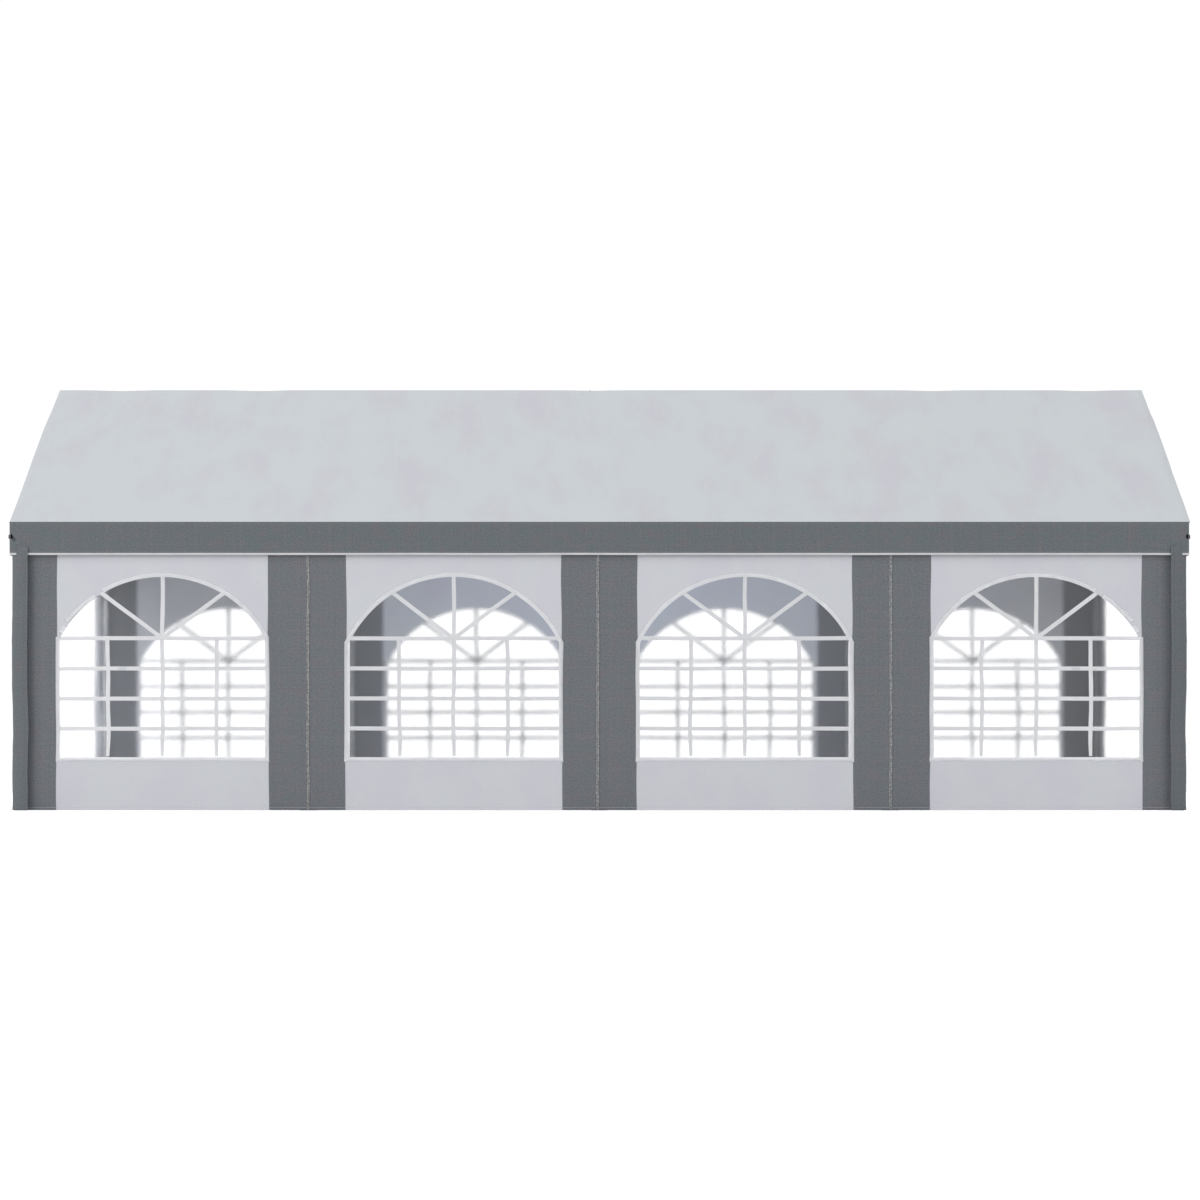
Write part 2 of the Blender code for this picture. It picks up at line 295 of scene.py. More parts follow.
def plate(work, outlines, base, thickness, edge):
    """Add a flat plate with holes and softened edges to a patchwork."""
    curve = bpy.data.curves.new("plate", "CURVE")
    curve.dimensions = "2D"
    curve.fill_mode = "BOTH"
    curve.extrude = thickness / 2 - edge
    curve.bevel_depth = edge
    curve.bevel_resolution = 1
    curve.offset = -edge
    for outline in outlines:
        spline = curve.splines.new("POLY")
        spline.points.add(len(outline) - 1)
        for point, place in zip(spline.points, outline):
            point.co = (place.x, place.y, 0.0, 1.0)
        spline.use_cyclic_u = True
    guide = bpy.data.objects.new("plate", curve)
    bpy.context.scene.collection.objects.link(guide)
    graph = bpy.context.evaluated_depsgraph_get()
    mesh = bpy.data.meshes.new_from_object(guide.evaluated_get(graph))
    start = len(work.points)
    work.points += [vertex.co + base for vertex in mesh.vertices]
    for polygon in mesh.polygons:
        work.faces.append([start + index for index in polygon.vertices])
        work.cuts += [tuple(mesh.vertices[index].co.xy) for index in polygon.vertices]
    bpy.data.objects.remove(guide, do_unlink=True)
    bpy.data.meshes.remove(mesh)


for side_name, side in SIDES.items():
    for number, x in enumerate(STATIONS, start=1):
        left = max(x - PLATE_SIZE / 2, STATIONS[0] - PLATE_MARGIN)
        right = min(x + PLATE_SIZE / 2, STATIONS[-1] + PLATE_MARGIN)
        outer = side * (SPAN + PLATE_MARGIN)
        inner = outer - side * PLATE_SIZE
        outline = [Vector(p) for p in ((left, inner), (right, inner), (right, outer), (left, outer))]
        hole_y = inner + side * PLATE_MARGIN
        holes = [Vector((left + PLATE_MARGIN, hole_y)), Vector((right - PLATE_MARGIN, hole_y))]
        rings = [circle(hole, PEG_HOLE_RADIUS, 20) for hole in holes]
        foot = Patchwork()
        base = Vector((0.0, 0.0, PLATE_THICKNESS / 2))
        plate(foot, [outline, *rings], base, PLATE_THICKNESS, PLATE_EDGE)
        bead = [(0.0, POLE_RADIUS), (0.0, 0.0235), (0.0015, 0.0228), (0.0042, POLE_RADIUS)]
        top = Vector((x, side * SPAN, PLATE_THICKNESS - 0.0003))
        turn(foot, top, top + Vector((0, 0, 1)), bead, closed=True)
        foot.sew(f"foot_plate_{side_name}_{number}", ZINC, "steel", weld=0.00002)

# Connectors
# Short sleeves of 42 mm steel tube, welded together with a bead round each joint, one
# connector at every leg and five along the ridge. A bolt through each sleeve holds its pole.
SLEEVE_RADIUS = 0.021
SLEEVE_LENGTH = 0.12
RAIL_SLEEVE = 0.10
RAIL_END = 0.023
BOLT_INSET = 0.028
BEAD = [(0.0188, 0.0205), (0.0205, 0.0232), (0.0232, 0.0232), (0.0255, 0.0205)]


def sleeve(work, start, direction, length, first=0.0):
    """Add an open sleeve that starts first metres from its connector's centre."""
    bore = POLE_RADIUS + 0.0002
    mouth = [(length - 0.0006, SLEEVE_RADIUS), (length, SLEEVE_RADIUS - 0.0005), (length, bore)]
    profile = [(first, bore), (first, SLEEVE_RADIUS), *mouth]
    turn(work, start, start + direction, profile, closed=True)


def bolt(work, centre, axis):
    """Add a hexagon bolt that goes through a sleeve, with a washer and a nut."""
    head = -SLEEVE_RADIUS - 0.0055
    turn(work, centre + axis * head, centre, [(0, 0.0045), (0.0008, 0.0056), (0.004, 0.0056)], 6)
    turn(work, centre + axis * (head + 0.004), centre, [(0, 0.0072), (0.0014, 0.0072)], 20)
    nut = SLEEVE_RADIUS - 0.0003
    away = centre + axis
    turn(work, centre + axis * nut, away, [(0, 0.0072), (0.0012, 0.0072)], 20)
    turn(work, centre + axis * (nut + 0.0012), away, [(0, 0.0056), (0.0046, 0.0056), (0.0052, 0.005)], 6)
    turn(work, centre + axis * nut, away, [(0.003, 0.003), (0.0088, 0.003), (0.0094, 0.0024)], 12)


X_AXIS = Vector((1.0, 0.0, 0.0))
Y_AXIS = Vector((0.0, 1.0, 0.0))
DOWN = Vector((0.0, 0.0, -1.0))


def rail_sleeve(work, centre, bolt_axis):
    """Add the sleeve that runs along a rail, cut short where the rail ends."""
    low = max(centre.x - RAIL_SLEEVE, STATIONS[0] - RAIL_END)
    high = min(centre.x + RAIL_SLEEVE, STATIONS[-1] + RAIL_END)
    start = Vector((low, centre.y, centre.z))
    bore = POLE_RADIUS + 0.0002
    length = high - low
    profile = [(0, bore), (0, SLEEVE_RADIUS), (length, SLEEVE_RADIUS), (length, bore)]
    turn(work, start, start + X_AXIS, profile, closed=True)
    for reach, way in ((low, -1), (high, 1)):
        if abs(reach - centre.x) > RAIL_END:
            bolt(work, Vector((reach - way * BOLT_INSET, centre.y, centre.z)), bolt_axis)


def branch(work, centre, direction, bolt_axis):
    """Add a sleeve welded to the side of the rail sleeve."""
    sleeve(work, centre, direction, SLEEVE_LENGTH, first=POLE_RADIUS - 0.0008)
    turn(work, centre, centre + direction, BEAD, closed=True)
    bolt(work, centre + direction * (SLEEVE_LENGTH - BOLT_INSET), bolt_axis)


for number, x in enumerate(STATIONS, start=1):
    for side_name, side in SIDES.items():
        centre = Vector((x, side * SPAN, EAVE_Z))
        connector = Patchwork()
        rail_sleeve(connector, centre, Y_AXIS * side)
        branch(connector, centre, DOWN, X_AXIS)
        branch(connector, centre, down_slope(side, -1.0), X_AXIS)
        if number in (1, len(STATIONS)):
            branch(connector, centre, Y_AXIS * -side, DOWN)
        connector.sew(f"eave_connector_{side_name}_{number}", ZINC, "steel")
    centre = Vector((x, 0.0, RIDGE_Z))
    connector = Patchwork()
    rail_sleeve(connector, centre, DOWN)
    for side in SIDES.values():
        branch(connector, centre, down_slope(side, 1.0), X_AXIS)
    connector.sew(f"ridge_connector_{number}", ZINC, "steel")

# Roof sheet
# One piece of pale grey coated polyethylene over the ridge and both slopes, pulled tight over
# the rafters, with its edges turned down round the gables and the eaves and sewn there.
SHEET = 0.0012
roof_low, roof_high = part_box("roof_cover_front")
HALF_LENGTH = roof_high.x
HALF_WIDTH = -roof_low.y
RIDGE_TOP = roof_high.z
EAVE_TOP = RIDGE_TOP - HALF_WIDTH * math.tan(SLOPE)
RIDGE_BEND = 0.020
EDGE_BEND = 0.006
RAKE_LIP = 0.007
EAVE_LIP = 0.0008
SAG = 0.009
RIDGE_DIPS = {-3.58: 0.006, -2.54: 0.006, -0.03: 0.004, 2.48: 0.006, 3.63: 0.006}
DIP_WIDTH = 0.16
RAKE_SHIFTS = {
    -1: ((0.0, -0.016), (0.3, -0.014), (0.6, -0.007), (0.75, -0.0035), (1.2, -0.0037),
         (1.75, -0.006), (2.05, -0.006), (2.27, -0.004)),
    1: ((0.0, -0.002), (0.3, 0.0), (0.43, 0.001), (0.6, 0.007), (0.9, 0.0085), (1.36, 0.0075),
        (1.5, 0.0045), (1.75, 0.005), (2.05, 0.006), (2.27, 0.004)),
}


def ripple(u, v, size, seed):
    """Smooth waves between about -1 and 1, size metres from one to the next."""
    return noise.noise(Vector((u / size, v / size, seed)))


def stops(low, high, step, *lines):
    """Values from low to high, step apart or a little less, that include the given lines."""
    fixed = sorted({low, high, *lines})
    values = [low]
    for first, last in zip(fixed, fixed[1:]):
        count = max(1, math.ceil((last - first) / step - 0.01))
        values += [first + (last - first) * i / count for i in range(1, count)] + [last]
    return values


BEND_START = RIDGE_BEND * SLOPE
BEND_CENTRE = RIDGE_TOP - RIDGE_BEND / math.cos(SLOPE)
EAVE_TURN = math.pi / 2 - SLOPE
EAVE_CUT = EDGE_BEND * math.tan(EAVE_TURN / 2)
SLOPE_LENGTH = HALF_WIDTH / math.cos(SLOPE)
FLAT_END = BEND_START + SLOPE_LENGTH - RIDGE_BEND * math.tan(SLOPE) - EAVE_CUT
EAVE_BEND_END = FLAT_END + EDGE_BEND * EAVE_TURN
ROOF_CUT = EAVE_BEND_END + EAVE_LIP
RAKE_BEND_START = HALF_LENGTH - EDGE_BEND
RAKE_BEND_END = RAKE_BEND_START + EDGE_BEND * math.pi / 2
RAKE_CUT = RAKE_BEND_END + RAKE_LIP


def roof_profile(run):
    """Point and outward way of the roof's section, run metres down from the ridge."""
    if run < BEND_START:
        angle = run / RIDGE_BEND
        way = Vector((0.0, math.sin(angle), math.cos(angle)))
        return Vector((0.0, 0.0, BEND_CENTRE)) + way * RIDGE_BEND, way
    way = Vector((0.0, math.sin(SLOPE), math.cos(SLOPE)))
    tangent = Vector((0.0, 0.0, BEND_CENTRE)) + way * RIDGE_BEND
    if run < FLAT_END:
        return tangent + down_slope(1, run - BEND_START), way
    centre = tangent + down_slope(1, FLAT_END - BEND_START) - way * EDGE_BEND
    angle = SLOPE + min(run - FLAT_END, EDGE_BEND * EAVE_TURN) / EDGE_BEND
    way = Vector((0.0, math.sin(angle), math.cos(angle)))
    return centre + way * EDGE_BEND + DOWN * max(0.0, run - EAVE_BEND_END), way


def bay_share(x):
    """0 over a leg or rafter and 1 halfway between two of them."""
    return math.sin(math.pi * (x - STATIONS[0]) / BAY) ** 2


def between(table, value):
    """Look a value up in a table of pairs, with a soft change from one to the next."""
    for (low, first), (high, last) in zip(table, table[1:]):
        if value <= high:
            share = max(0.0, (value - low) / (high - low))
            return first + (last - first) * share * share * (3 - 2 * share)
    return table[-1][1]


def rake_shift(end, run):
    """How far the roof's edge over a gable lies outside its nominal place."""
    return between(RAKE_SHIFTS[end], abs(run))


def hang_roof(x, run):
    """Where a point of the roof sheet lies: x along the tent, run down the slope."""
    side = 1 if run >= 0 else -1
    point, way = roof_profile(abs(run))
    on_slope = max(0.0, 1 - abs(2 * abs(run) / FLAT_END - 1)) ** 0.5
    tight = min(1.0, (HALF_LENGTH - min(abs(x), HALF_LENGTH)) / 0.15)
    rest = SAG * bay_share(x) * on_slope * tight
    waves = 0.0022 * tight * on_slope * ripple(x, run / 3, 0.22, 2.0 + side)
    near_ridge = max(0.0, 1 - abs(run) / 0.35) ** 2
    dips = sum(deep * math.exp(-(((x - at) / DIP_WIDTH) ** 2)) for at, deep in RIDGE_DIPS.items())
    drop = rest + waves + near_ridge * (dips + 0.001 * ripple(x, 0.0, 0.12, 7.0))
    turned = max(0.0, abs(x) - RAKE_BEND_START)
    angle = min(turned / EDGE_BEND, math.pi / 2)
    flat_x = min(abs(x), RAKE_BEND_START) + EDGE_BEND * math.sin(angle)
    near_end = max(0.0, 1 - (HALF_LENGTH - min(abs(x), HALF_LENGTH)) / 0.4)
    flat_x += rake_shift(1 if x > 0 else -1, run) * near_end
    drop += EDGE_BEND * (1 - math.cos(angle)) + max(0.0, abs(x) - RAKE_BEND_END)
    place = point - way * (drop + SHEET / 2)
    return Vector((math.copysign(flat_x, x), side * place.y, place.z))


def mottle_group():
    """Patches a hand or two wide, with grainy edges, where the coat on the sheet is thinner."""
    group = bpy.data.node_groups.new("mottle", "ShaderNodeTree")
    for name, kind, value in (
        ("Cut", "NodeSocketVector", None), ("Size", "NodeSocketFloat", 0.5),
        ("Stretch", "NodeSocketFloat", 1.0), ("Level", "NodeSocketFloat", 0.6),
    ):
        socket = group.interface.new_socket(name, in_out="INPUT", socket_type=kind)
        if value is not None:
            socket.default_value = value
    group.interface.new_socket("Mask", in_out="OUTPUT", socket_type="NodeSocketFloat")
    enter = group.nodes.new("NodeGroupInput").outputs
    leave = group.nodes.new("NodeGroupOutput")
    parts = add_node(group, "SeparateXYZ", {0: enter["Cut"]}).outputs
    along = calculate(group, "DIVIDE", parts[1], enter["Stretch"])
    place = add_node(group, "CombineXYZ", {0: parts[0], 1: along}).outputs[0]
    scale = calculate(group, "DIVIDE", 1.0, enter["Size"])
    blots = add_node(
        group, "TexNoise", {"Vector": place, "Scale": scale, "Detail": 5.0, "Roughness": 0.6},
        noise_dimensions="2D",
    ).outputs[0]
    grain = add_node(
        group, "TexNoise", {"Vector": enter["Cut"], "Scale": 110.0, "Detail": 2.0},
        noise_dimensions="2D",
    ).outputs[0]
    value = calculate(group, "MULTIPLY_ADD", grain, 0.60, blots)
    low = calculate(group, "SUBTRACT", enter["Level"], 0.08)
    high = calculate(group, "ADD", enter["Level"], 0.08)
    mask = add_node(
        group, "MapRange", {"Value": value, "From Min": low, "From Max": high},
        interpolation_type="SMOOTHSTEP",
    ).outputs[0]
    connect(group, mask, leave, "Mask")
    return group


def weave_group():
    """Flat tapes woven over and under each other, with threads that differ a little."""
    group = bpy.data.node_groups.new("tape_weave", "ShaderNodeTree")
    group.interface.new_socket("Cut", in_out="INPUT", socket_type="NodeSocketVector")
    pitch = group.interface.new_socket("Pitch", in_out="INPUT", socket_type="NodeSocketFloat")
    pitch.default_value = 0.0024
    group.interface.new_socket("Height", in_out="OUTPUT", socket_type="NodeSocketFloat")
    group.interface.new_socket("Shade", in_out="OUTPUT", socket_type="NodeSocketFloat")
    enter = group.nodes.new("NodeGroupInput").outputs
    leave = group.nodes.new("NodeGroupOutput")
    parts = add_node(group, "SeparateXYZ", {0: enter["Cut"]}).outputs
    columns, profiles, threads = [], [], []
    for axis in (0, 1):
        turns = calculate(group, "DIVIDE", parts[axis], enter["Pitch"])
        columns.append(calculate(group, "FLOOR", turns))
        profiles.append(calculate(group, "PINGPONG", turns, 0.5))
        number = calculate(group, "MULTIPLY_ADD", columns[axis], 1.0, 0.37 + 51.0 * axis)
        thread = add_node(group, "TexWhiteNoise", {"W": number}, noise_dimensions="1D")
        threads.append(thread.outputs["Value"])
    total = calculate(group, "ADD", columns[0], columns[1])
    over = calculate(group, "ABSOLUTE", calculate(group, "MODULO", total, 2.0))
    height = add_node(group, "Mix", {0: over, 2: profiles[0], 3: profiles[1]}).outputs[0]
    shade = add_node(group, "Mix", {0: over, 2: threads[0], 3: threads[1]}).outputs[0]
    rounded = calculate(group, "POWER", calculate(group, "MULTIPLY", height, 2.0), 0.4)
    connect(group, rounded, leave, "Height")
    connect(group, shade, leave, "Shade")
    return group


def stitch_group():
    """A row of stitches: 1 on the thread, 0 beside it and between two stitches."""
    group = bpy.data.node_groups.new("stitch_row", "ShaderNodeTree")
    for name, value in (("Along", 0.0), ("Across", 0.0), ("Pitch", 0.006), ("Width", 0.0016)):
        socket = group.interface.new_socket(name, in_out="INPUT", socket_type="NodeSocketFloat")
        socket.default_value = value
    group.interface.new_socket("Thread", in_out="OUTPUT", socket_type="NodeSocketFloat")
    group.interface.new_socket("Dent", in_out="OUTPUT", socket_type="NodeSocketFloat")
    enter = group.nodes.new("NodeGroupInput").outputs
    leave = group.nodes.new("NodeGroupOutput")
    away = calculate(group, "ABSOLUTE", enter["Across"])
    near = calculate(group, "LESS_THAN", away, calculate(group, "MULTIPLY", enter["Width"], 0.5))
    turns = calculate(group, "FRACT", calculate(group, "DIVIDE", enter["Along"], enter["Pitch"]))
    on = calculate(group, "LESS_THAN", turns, 0.74)
    connect(group, calculate(group, "MULTIPLY", near, on), leave, "Thread")
    reach = calculate(group, "MULTIPLY", enter["Width"], 2.5)
    dent = add_node(
        group, "MapRange", {"Value": away, "From Min": 0.0, "From Max": reach, "To Min": 1.0, "To Max": 0.0},
        interpolation_type="SMOOTHSTEP",
    ).outputs[0]
    connect(group, dent, leave, "Dent")
    return group


MOTTLE = mottle_group()
WEAVE = weave_group()
STITCHES = stitch_group()
THREAD_COLOUR = (0.42, 0.43, 0.45)


class Fabric:
    """A woven, coated sheet as a material, to which seams and creases are added in turn."""

    def __init__(self, name, colour, tint, size, stretch, level, roughness=0.62, grain=0.03):
        self.material, self.tree, self.shader = new_material(name, roughness)
        tree = self.tree
        self.cut = add_node(tree, "UVMap", {}, uv_map="cut").outputs[0]
        parts = add_node(tree, "SeparateXYZ", {0: self.cut}).outputs
        self.across, self.up = parts[0], parts[1]
        mottle = add_node(tree, "Group", {}, node_tree=MOTTLE)
        for key, value in (("Size", size), ("Stretch", stretch), ("Level", level)):
            mottle.inputs[key].default_value = value
        connect(tree, self.cut, mottle, "Cut")
        weave = add_node(tree, "Group", {}, node_tree=WEAVE)
        connect(tree, self.cut, weave, "Cut")
        self.height = weave.outputs["Height"]
        colour = blend_colours(tree, mottle.outputs["Mask"], colour, tint)
        shade = calculate(tree, "MULTIPLY_ADD", weave.outputs["Shade"], grain, 1.0 - grain / 2)
        specks = add_node(tree, "TexNoise", {"Vector": self.cut, "Scale": 95.0, "Detail": 1.0})
        drift = calculate(tree, "MULTIPLY_ADD", specks.outputs[0], 4.0 * grain, 1 - 2.0 * grain)
        shade = calculate(tree, "MULTIPLY", shade, drift)
        dark = add_node(tree, "CombineXYZ", {0: shade, 1: shade, 2: shade}).outputs[0]
        mixed = add_node(tree, "Mix", {0: 1.0, 6: colour, 7: dark}, data_type="RGBA", blend_type="MULTIPLY")
        self.colour = mixed.outputs[2]
        gloss = calculate(tree, "MULTIPLY_ADD", mottle.outputs["Mask"], 0.06, roughness - 0.03)
        self.roughness = calculate(tree, "MULTIPLY_ADD", weave.outputs["Shade"], 0.08, gloss)

    def sew(self, across, along=None, thread=THREAD_COLOUR, pitch=0.006, width=0.0018):
        """Add a row of stitches where across is 0, running along the sheet."""
        row = add_node(self.tree, "Group", {}, node_tree=STITCHES)
        connect(self.tree, across, row, "Across")
        connect(self.tree, along or self.across, row, "Along")
        row.inputs["Pitch"].default_value = pitch
        row.inputs["Width"].default_value = width
        self.colour = blend_colours(self.tree, row.outputs["Thread"], self.colour, thread)
        hollow = calculate(self.tree, "MULTIPLY_ADD", row.outputs["Dent"], -1.6, self.height)
        self.height = calculate(self.tree, "MULTIPLY_ADD", row.outputs["Thread"], 1.8, hollow)

    def stain(self, mask, colour, share):
        """Tint the sheet where the mask is 1."""
        self.colour = blend_colours(
            self.tree, calculate(self.tree, "MULTIPLY", mask, share), self.colour, colour
        )

    def done(self, strength=0.35, depth=0.0005):
        bump = add_node(
            self.tree, "Bump", {"Strength": strength, "Distance": depth, "Height": self.height}
        )
        connect(self.tree, bump.outputs[0], self.shader, "Normal")
        connect(self.tree, self.colour, self.shader, "Base Color")
        connect(self.tree, self.roughness, self.shader, "Roughness")
        return self.material


roof_fabric = Fabric(
    "roof_polyethylene", (0.399, 0.427, 0.444), (0.393, 0.395, 0.432), 0.36, 2.6, 0.87
)
rake_row = calculate(roof_fabric.tree, "ABSOLUTE", roof_fabric.across)
rake_row = calculate(roof_fabric.tree, "SUBTRACT", rake_row, HALF_LENGTH - 0.014)
roof_fabric.sew(rake_row, roof_fabric.up)
ROOF_FABRIC = roof_fabric.done()

roof_x = stops(
    -RAKE_CUT, RAKE_CUT, 0.05, -RAKE_BEND_END, -RAKE_BEND_END + 0.0047, -RAKE_BEND_START,
    RAKE_BEND_START, RAKE_BEND_END - 0.0047, RAKE_BEND_END, *STATIONS[1:-1],
)
roof_run = stops(0.0, ROOF_CUT, 0.05, BEND_START / 2, BEND_START, FLAT_END,
                 (FLAT_END + EAVE_BEND_END) / 2, EAVE_BEND_END)
roof_run = [-run for run in reversed(roof_run[1:])] + roof_run
roof = Patchwork()
roof.add(
    [[hang_roof(x, run) for x in roof_x] for run in roof_run],
    cuts=[[(x, run) for x in roof_x] for run in roof_run],
)
roof_sheet = roof.sew(
    "roof_sheet", ROOF_FABRIC, "roof_sheet", ["roof_cover_front", "roof_cover_back"],
    thickness=SHEET,
)

# Gable sheets
# A triangle of the same cloth in each end, sewn to the roof's turned-down edge and filling
# the space over the end bar. The wind has left it bellied out by a few millimetres.
GABLE_BULGE = 0.006
gable_low, gable_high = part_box("gable_left")
GABLE_BOTTOM = gable_low.z - 0.006
GABLE_HALF = HALF_WIDTH - 2 * SHEET
gable_fabric = Fabric(
    "gable_polyethylene", (0.399, 0.427, 0.444), (0.393, 0.395, 0.432), 0.36, 1.6, 0.87
)
GABLE_FABRIC = gable_fabric.done()


def gable_top(y):
    """Height of the gable sheet's upper edge, just under the roof sheet."""
    return RIDGE_TOP - 0.004 - abs(y) * math.tan(SLOPE)


def hang_gable(end, y, z):
    rise = (z - GABLE_BOTTOM) / (gable_top(y) - GABLE_BOTTOM)
    belly = math.sin(math.pi * rise) * math.cos(math.pi / 2 * y / GABLE_HALF) ** 2
    wave = 0.3 * ripple(y, z, 0.5, 30.0 + end)
    x = HALF_LENGTH - 1.8 * SHEET + GABLE_BULGE * belly * (0.7 + wave)
    x += rake_shift(end, y / math.cos(SLOPE)) * rise**3
    return Vector((end * x, y, z))


for end_name, end in ENDS.items():
    gable = Patchwork()
    rows = []
    for rise in stops(0.0, 1.0, 1 / 22):
        row = []
        for y in stops(-GABLE_HALF, GABLE_HALF, 0.06, 0.0):
            row.append((y, GABLE_BOTTOM + rise * (gable_top(y) - GABLE_BOTTOM)))
        rows.append(row)
    gable.add([[hang_gable(end, y, z) for y, z in row] for row in rows], cuts=rows)
    name = f"gable_sheet_{end_name}"
    sheet = gable.sew(name, GABLE_FABRIC, "roof_sheet", [f"gable_{end_name}"], thickness=SHEET)
    height = gable_top(0.0) - GABLE_BOTTOM

# Valance
# A dark grey band of the same woven sheet that hangs from the edge of the roof all round. It
# was stored folded, so it has a crease every 0.3 m, and it is stitched along both edges.
valance_low, valance_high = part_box("valance_front")
VALANCE_BOTTOM = valance_low.z
VALANCE_TOP = EAVE_TOP - EAVE_CUT
VALANCE_X = HALF_LENGTH - 1.7 * SHEET
VALANCE_Y = HALF_WIDTH - 1.7 * SHEET
CORNER_BEND = 0.012
FOLD_SPACING = 0.305
TOP_STITCH = 0.0125
BINDING_HEIGHT = 0.0145
LOW_STITCH = 0.026
DENT_HEIGHT = 1.880
SLOT_PLACE = -0.001
DARK = (0.075, 0.090, 0.100)
DARK_TINT = (0.091, 0.090, 0.100)
DARK_THREAD = (0.130, 0.135, 0.140)


def loop_stops(spacing):
    """Running lengths round the valance, from the middle of the back, with close corner steps."""
    lines, total = [0.0], 0.0
    quarter = CORNER_BEND * math.pi / 2
    runs = [VALANCE_X, 2 * VALANCE_Y, 2 * VALANCE_X, 2 * VALANCE_Y, VALANCE_X]
    for index, run in enumerate(runs):
        straight = run - CORNER_BEND * (1 if index in (0, 4) else 2)
        if index in (0, 2):
            lines += [total + straight - 0.0035 * step for step in range(1, 19)]
        lines.append(total + straight)
        total += straight
        if index in (1, 3):
            lines += [total + quarter + 0.0035 * step for step in range(1, 19)]
        if index < 4:
            lines += [total + quarter * share for share in (0.25, 0.5, 0.75, 1.0)]
            total += quarter
    return stops(0.0, total, spacing, *lines), total


def round_loop(run):
    """Point and outward way of the valance's path, run metres from the middle of the back."""
    x, y = VALANCE_X, VALANCE_Y
    quarter = CORNER_BEND * math.pi / 2
    corners = [(x, y, 90), (x, -y, 0), (-x, -y, -90), (-x, y, -180)]
    place, heading = Vector((0.0, y)), Vector((1.0, 0.0))
    for corner_x, corner_y, facing in corners:
        corner = Vector((corner_x, corner_y))
        straight = (corner - place).length - CORNER_BEND
        out = Vector((math.cos(math.radians(facing)), math.sin(math.radians(facing))))
        if run <= straight:
            return place + heading * run, out
        run -= straight
        place = place + heading * straight
        if run <= quarter:
            angle = run / CORNER_BEND
            centre = place - out * CORNER_BEND
            way = out * math.cos(angle) + heading * math.sin(angle)
            return centre + way * CORNER_BEND, way
        run -= quarter
        place = place + (heading - out) * CORNER_BEND
        heading = -out
    return place + heading * run, Vector((0.0, 1.0))


def slot_places():
    """Running length, way inwards and depth of the crease for the slot beside each corner."""
    quarter = CORNER_BEND * math.pi / 2
    right_back = VALANCE_X - CORNER_BEND
    right_front = right_back + 2 * (VALANCE_Y - CORNER_BEND) + 2 * quarter
    left_front = right_front + 2 * (VALANCE_X - CORNER_BEND)
    left_back = left_front + 2 * (VALANCE_Y - CORNER_BEND) + 2 * quarter
    return {
        ("right", "back"): (right_back + SLOT_PLACE, -1, 0.0020),
        ("right", "front"): (right_front - SLOT_PLACE, 1, 0.0015),
        ("left", "front"): (left_front + SLOT_PLACE, -1, 0.0190),
        ("left", "back"): (left_back - SLOT_PLACE, 1, 0.0150),
    }


SLOT_PLACES = slot_places()


def dent_depth(run, z):
    """How far the valance is pulled in round a slot, and along the crease that leaves it."""
    depth = 0.0
    for at, inwards, crease in SLOT_PLACES.values():
        pull = Vector(((run - at) * inwards, z - DENT_HEIGHT))
        if pull.length < 0.08:
            depth += 0.006 * math.exp(-((pull.length / 0.012) ** 2))
            beside = (pull.x + pull.y) / 0.013
            along = max(0.0, 1 - (pull - Vector((0.016, -0.016))).length / 0.042)
            depth += crease * math.exp(-(beside**2)) * along
    return depth


def hang_valance(run, z, out=0.0):
    """Where a point of the valance hangs: run round the tent, z above the ground."""
    place, way = round_loop(run)
    below = max(0.0, (VALANCE_TOP - z) / (VALANCE_TOP - VALANCE_BOTTOM))
    flutter = 0.0035 * below * ripple(run, 0.0, 0.45, 40.0)
    flutter += 0.0012 * below * ripple(run, z, 0.12, 41.0)
    reach = way * (flutter + out - dent_depth(run, z))
    drop = 0.0015 * below * ripple(run, 0.0, 0.6, 42.0)
    return Vector((place.x + reach.x, place.y + reach.y, z + drop))


valance_fabric = Fabric("valance_polyethylene", DARK, DARK_TINT, 0.11, 0.6, 0.87, grain=0.22)
tree = valance_fabric.tree
top_row = calculate(tree, "SUBTRACT", valance_fabric.up, VALANCE_TOP - TOP_STITCH)
valance_fabric.sew(top_row, thread=DARK_THREAD)
low_row = calculate(tree, "SUBTRACT", valance_fabric.up, VALANCE_BOTTOM + LOW_STITCH)
valance_fabric.sew(low_row, thread=DARK_THREAD)
fold = calculate(tree, "PINGPONG", valance_fabric.across, FOLD_SPACING / 2)
fold = add_node(
    tree, "MapRange", {"Value": fold, "From Min": 0.0, "From Max": 0.014, "To Min": 1.0, "To Max": 0.0},
    interpolation_type="SMOOTHSTEP",
).outputs[0]
worn = add_node(tree, "TexNoise", {"Vector": valance_fabric.cut, "Scale": 22.0, "Detail": 3.0})
fold = calculate(tree, "MULTIPLY", fold, soft_step(tree, worn.outputs[0], 0.38, 0.62))
valance_fabric.stain(fold, (0.112, 0.104, 0.107), 0.5)
DARK_FABRIC = valance_fabric.done()

valance_runs, valance_length = loop_stops(0.04)
dent_lines = [DENT_HEIGHT - 0.065 + 0.005 * step for step in range(18)]
valance_heights = stops(
    VALANCE_BOTTOM + 0.001, VALANCE_TOP - 0.0002, 0.02, VALANCE_TOP - TOP_STITCH,
    VALANCE_BOTTOM + BINDING_HEIGHT, *dent_lines,
)
valance = Patchwork()
valance.add(
    [[hang_valance(run, z) for run in valance_runs[:-1]] for z in valance_heights],
    cuts=[[(run, z) for run in valance_runs] for z in valance_heights], around=True,
)
valance_nodes = [f"valance_{name}" for name in (*SIDES, *ENDS)]
valance_sheet = valance.sew(
    "valance", DARK_FABRIC, "grey_sheet", valance_nodes, thickness=SHEET
)

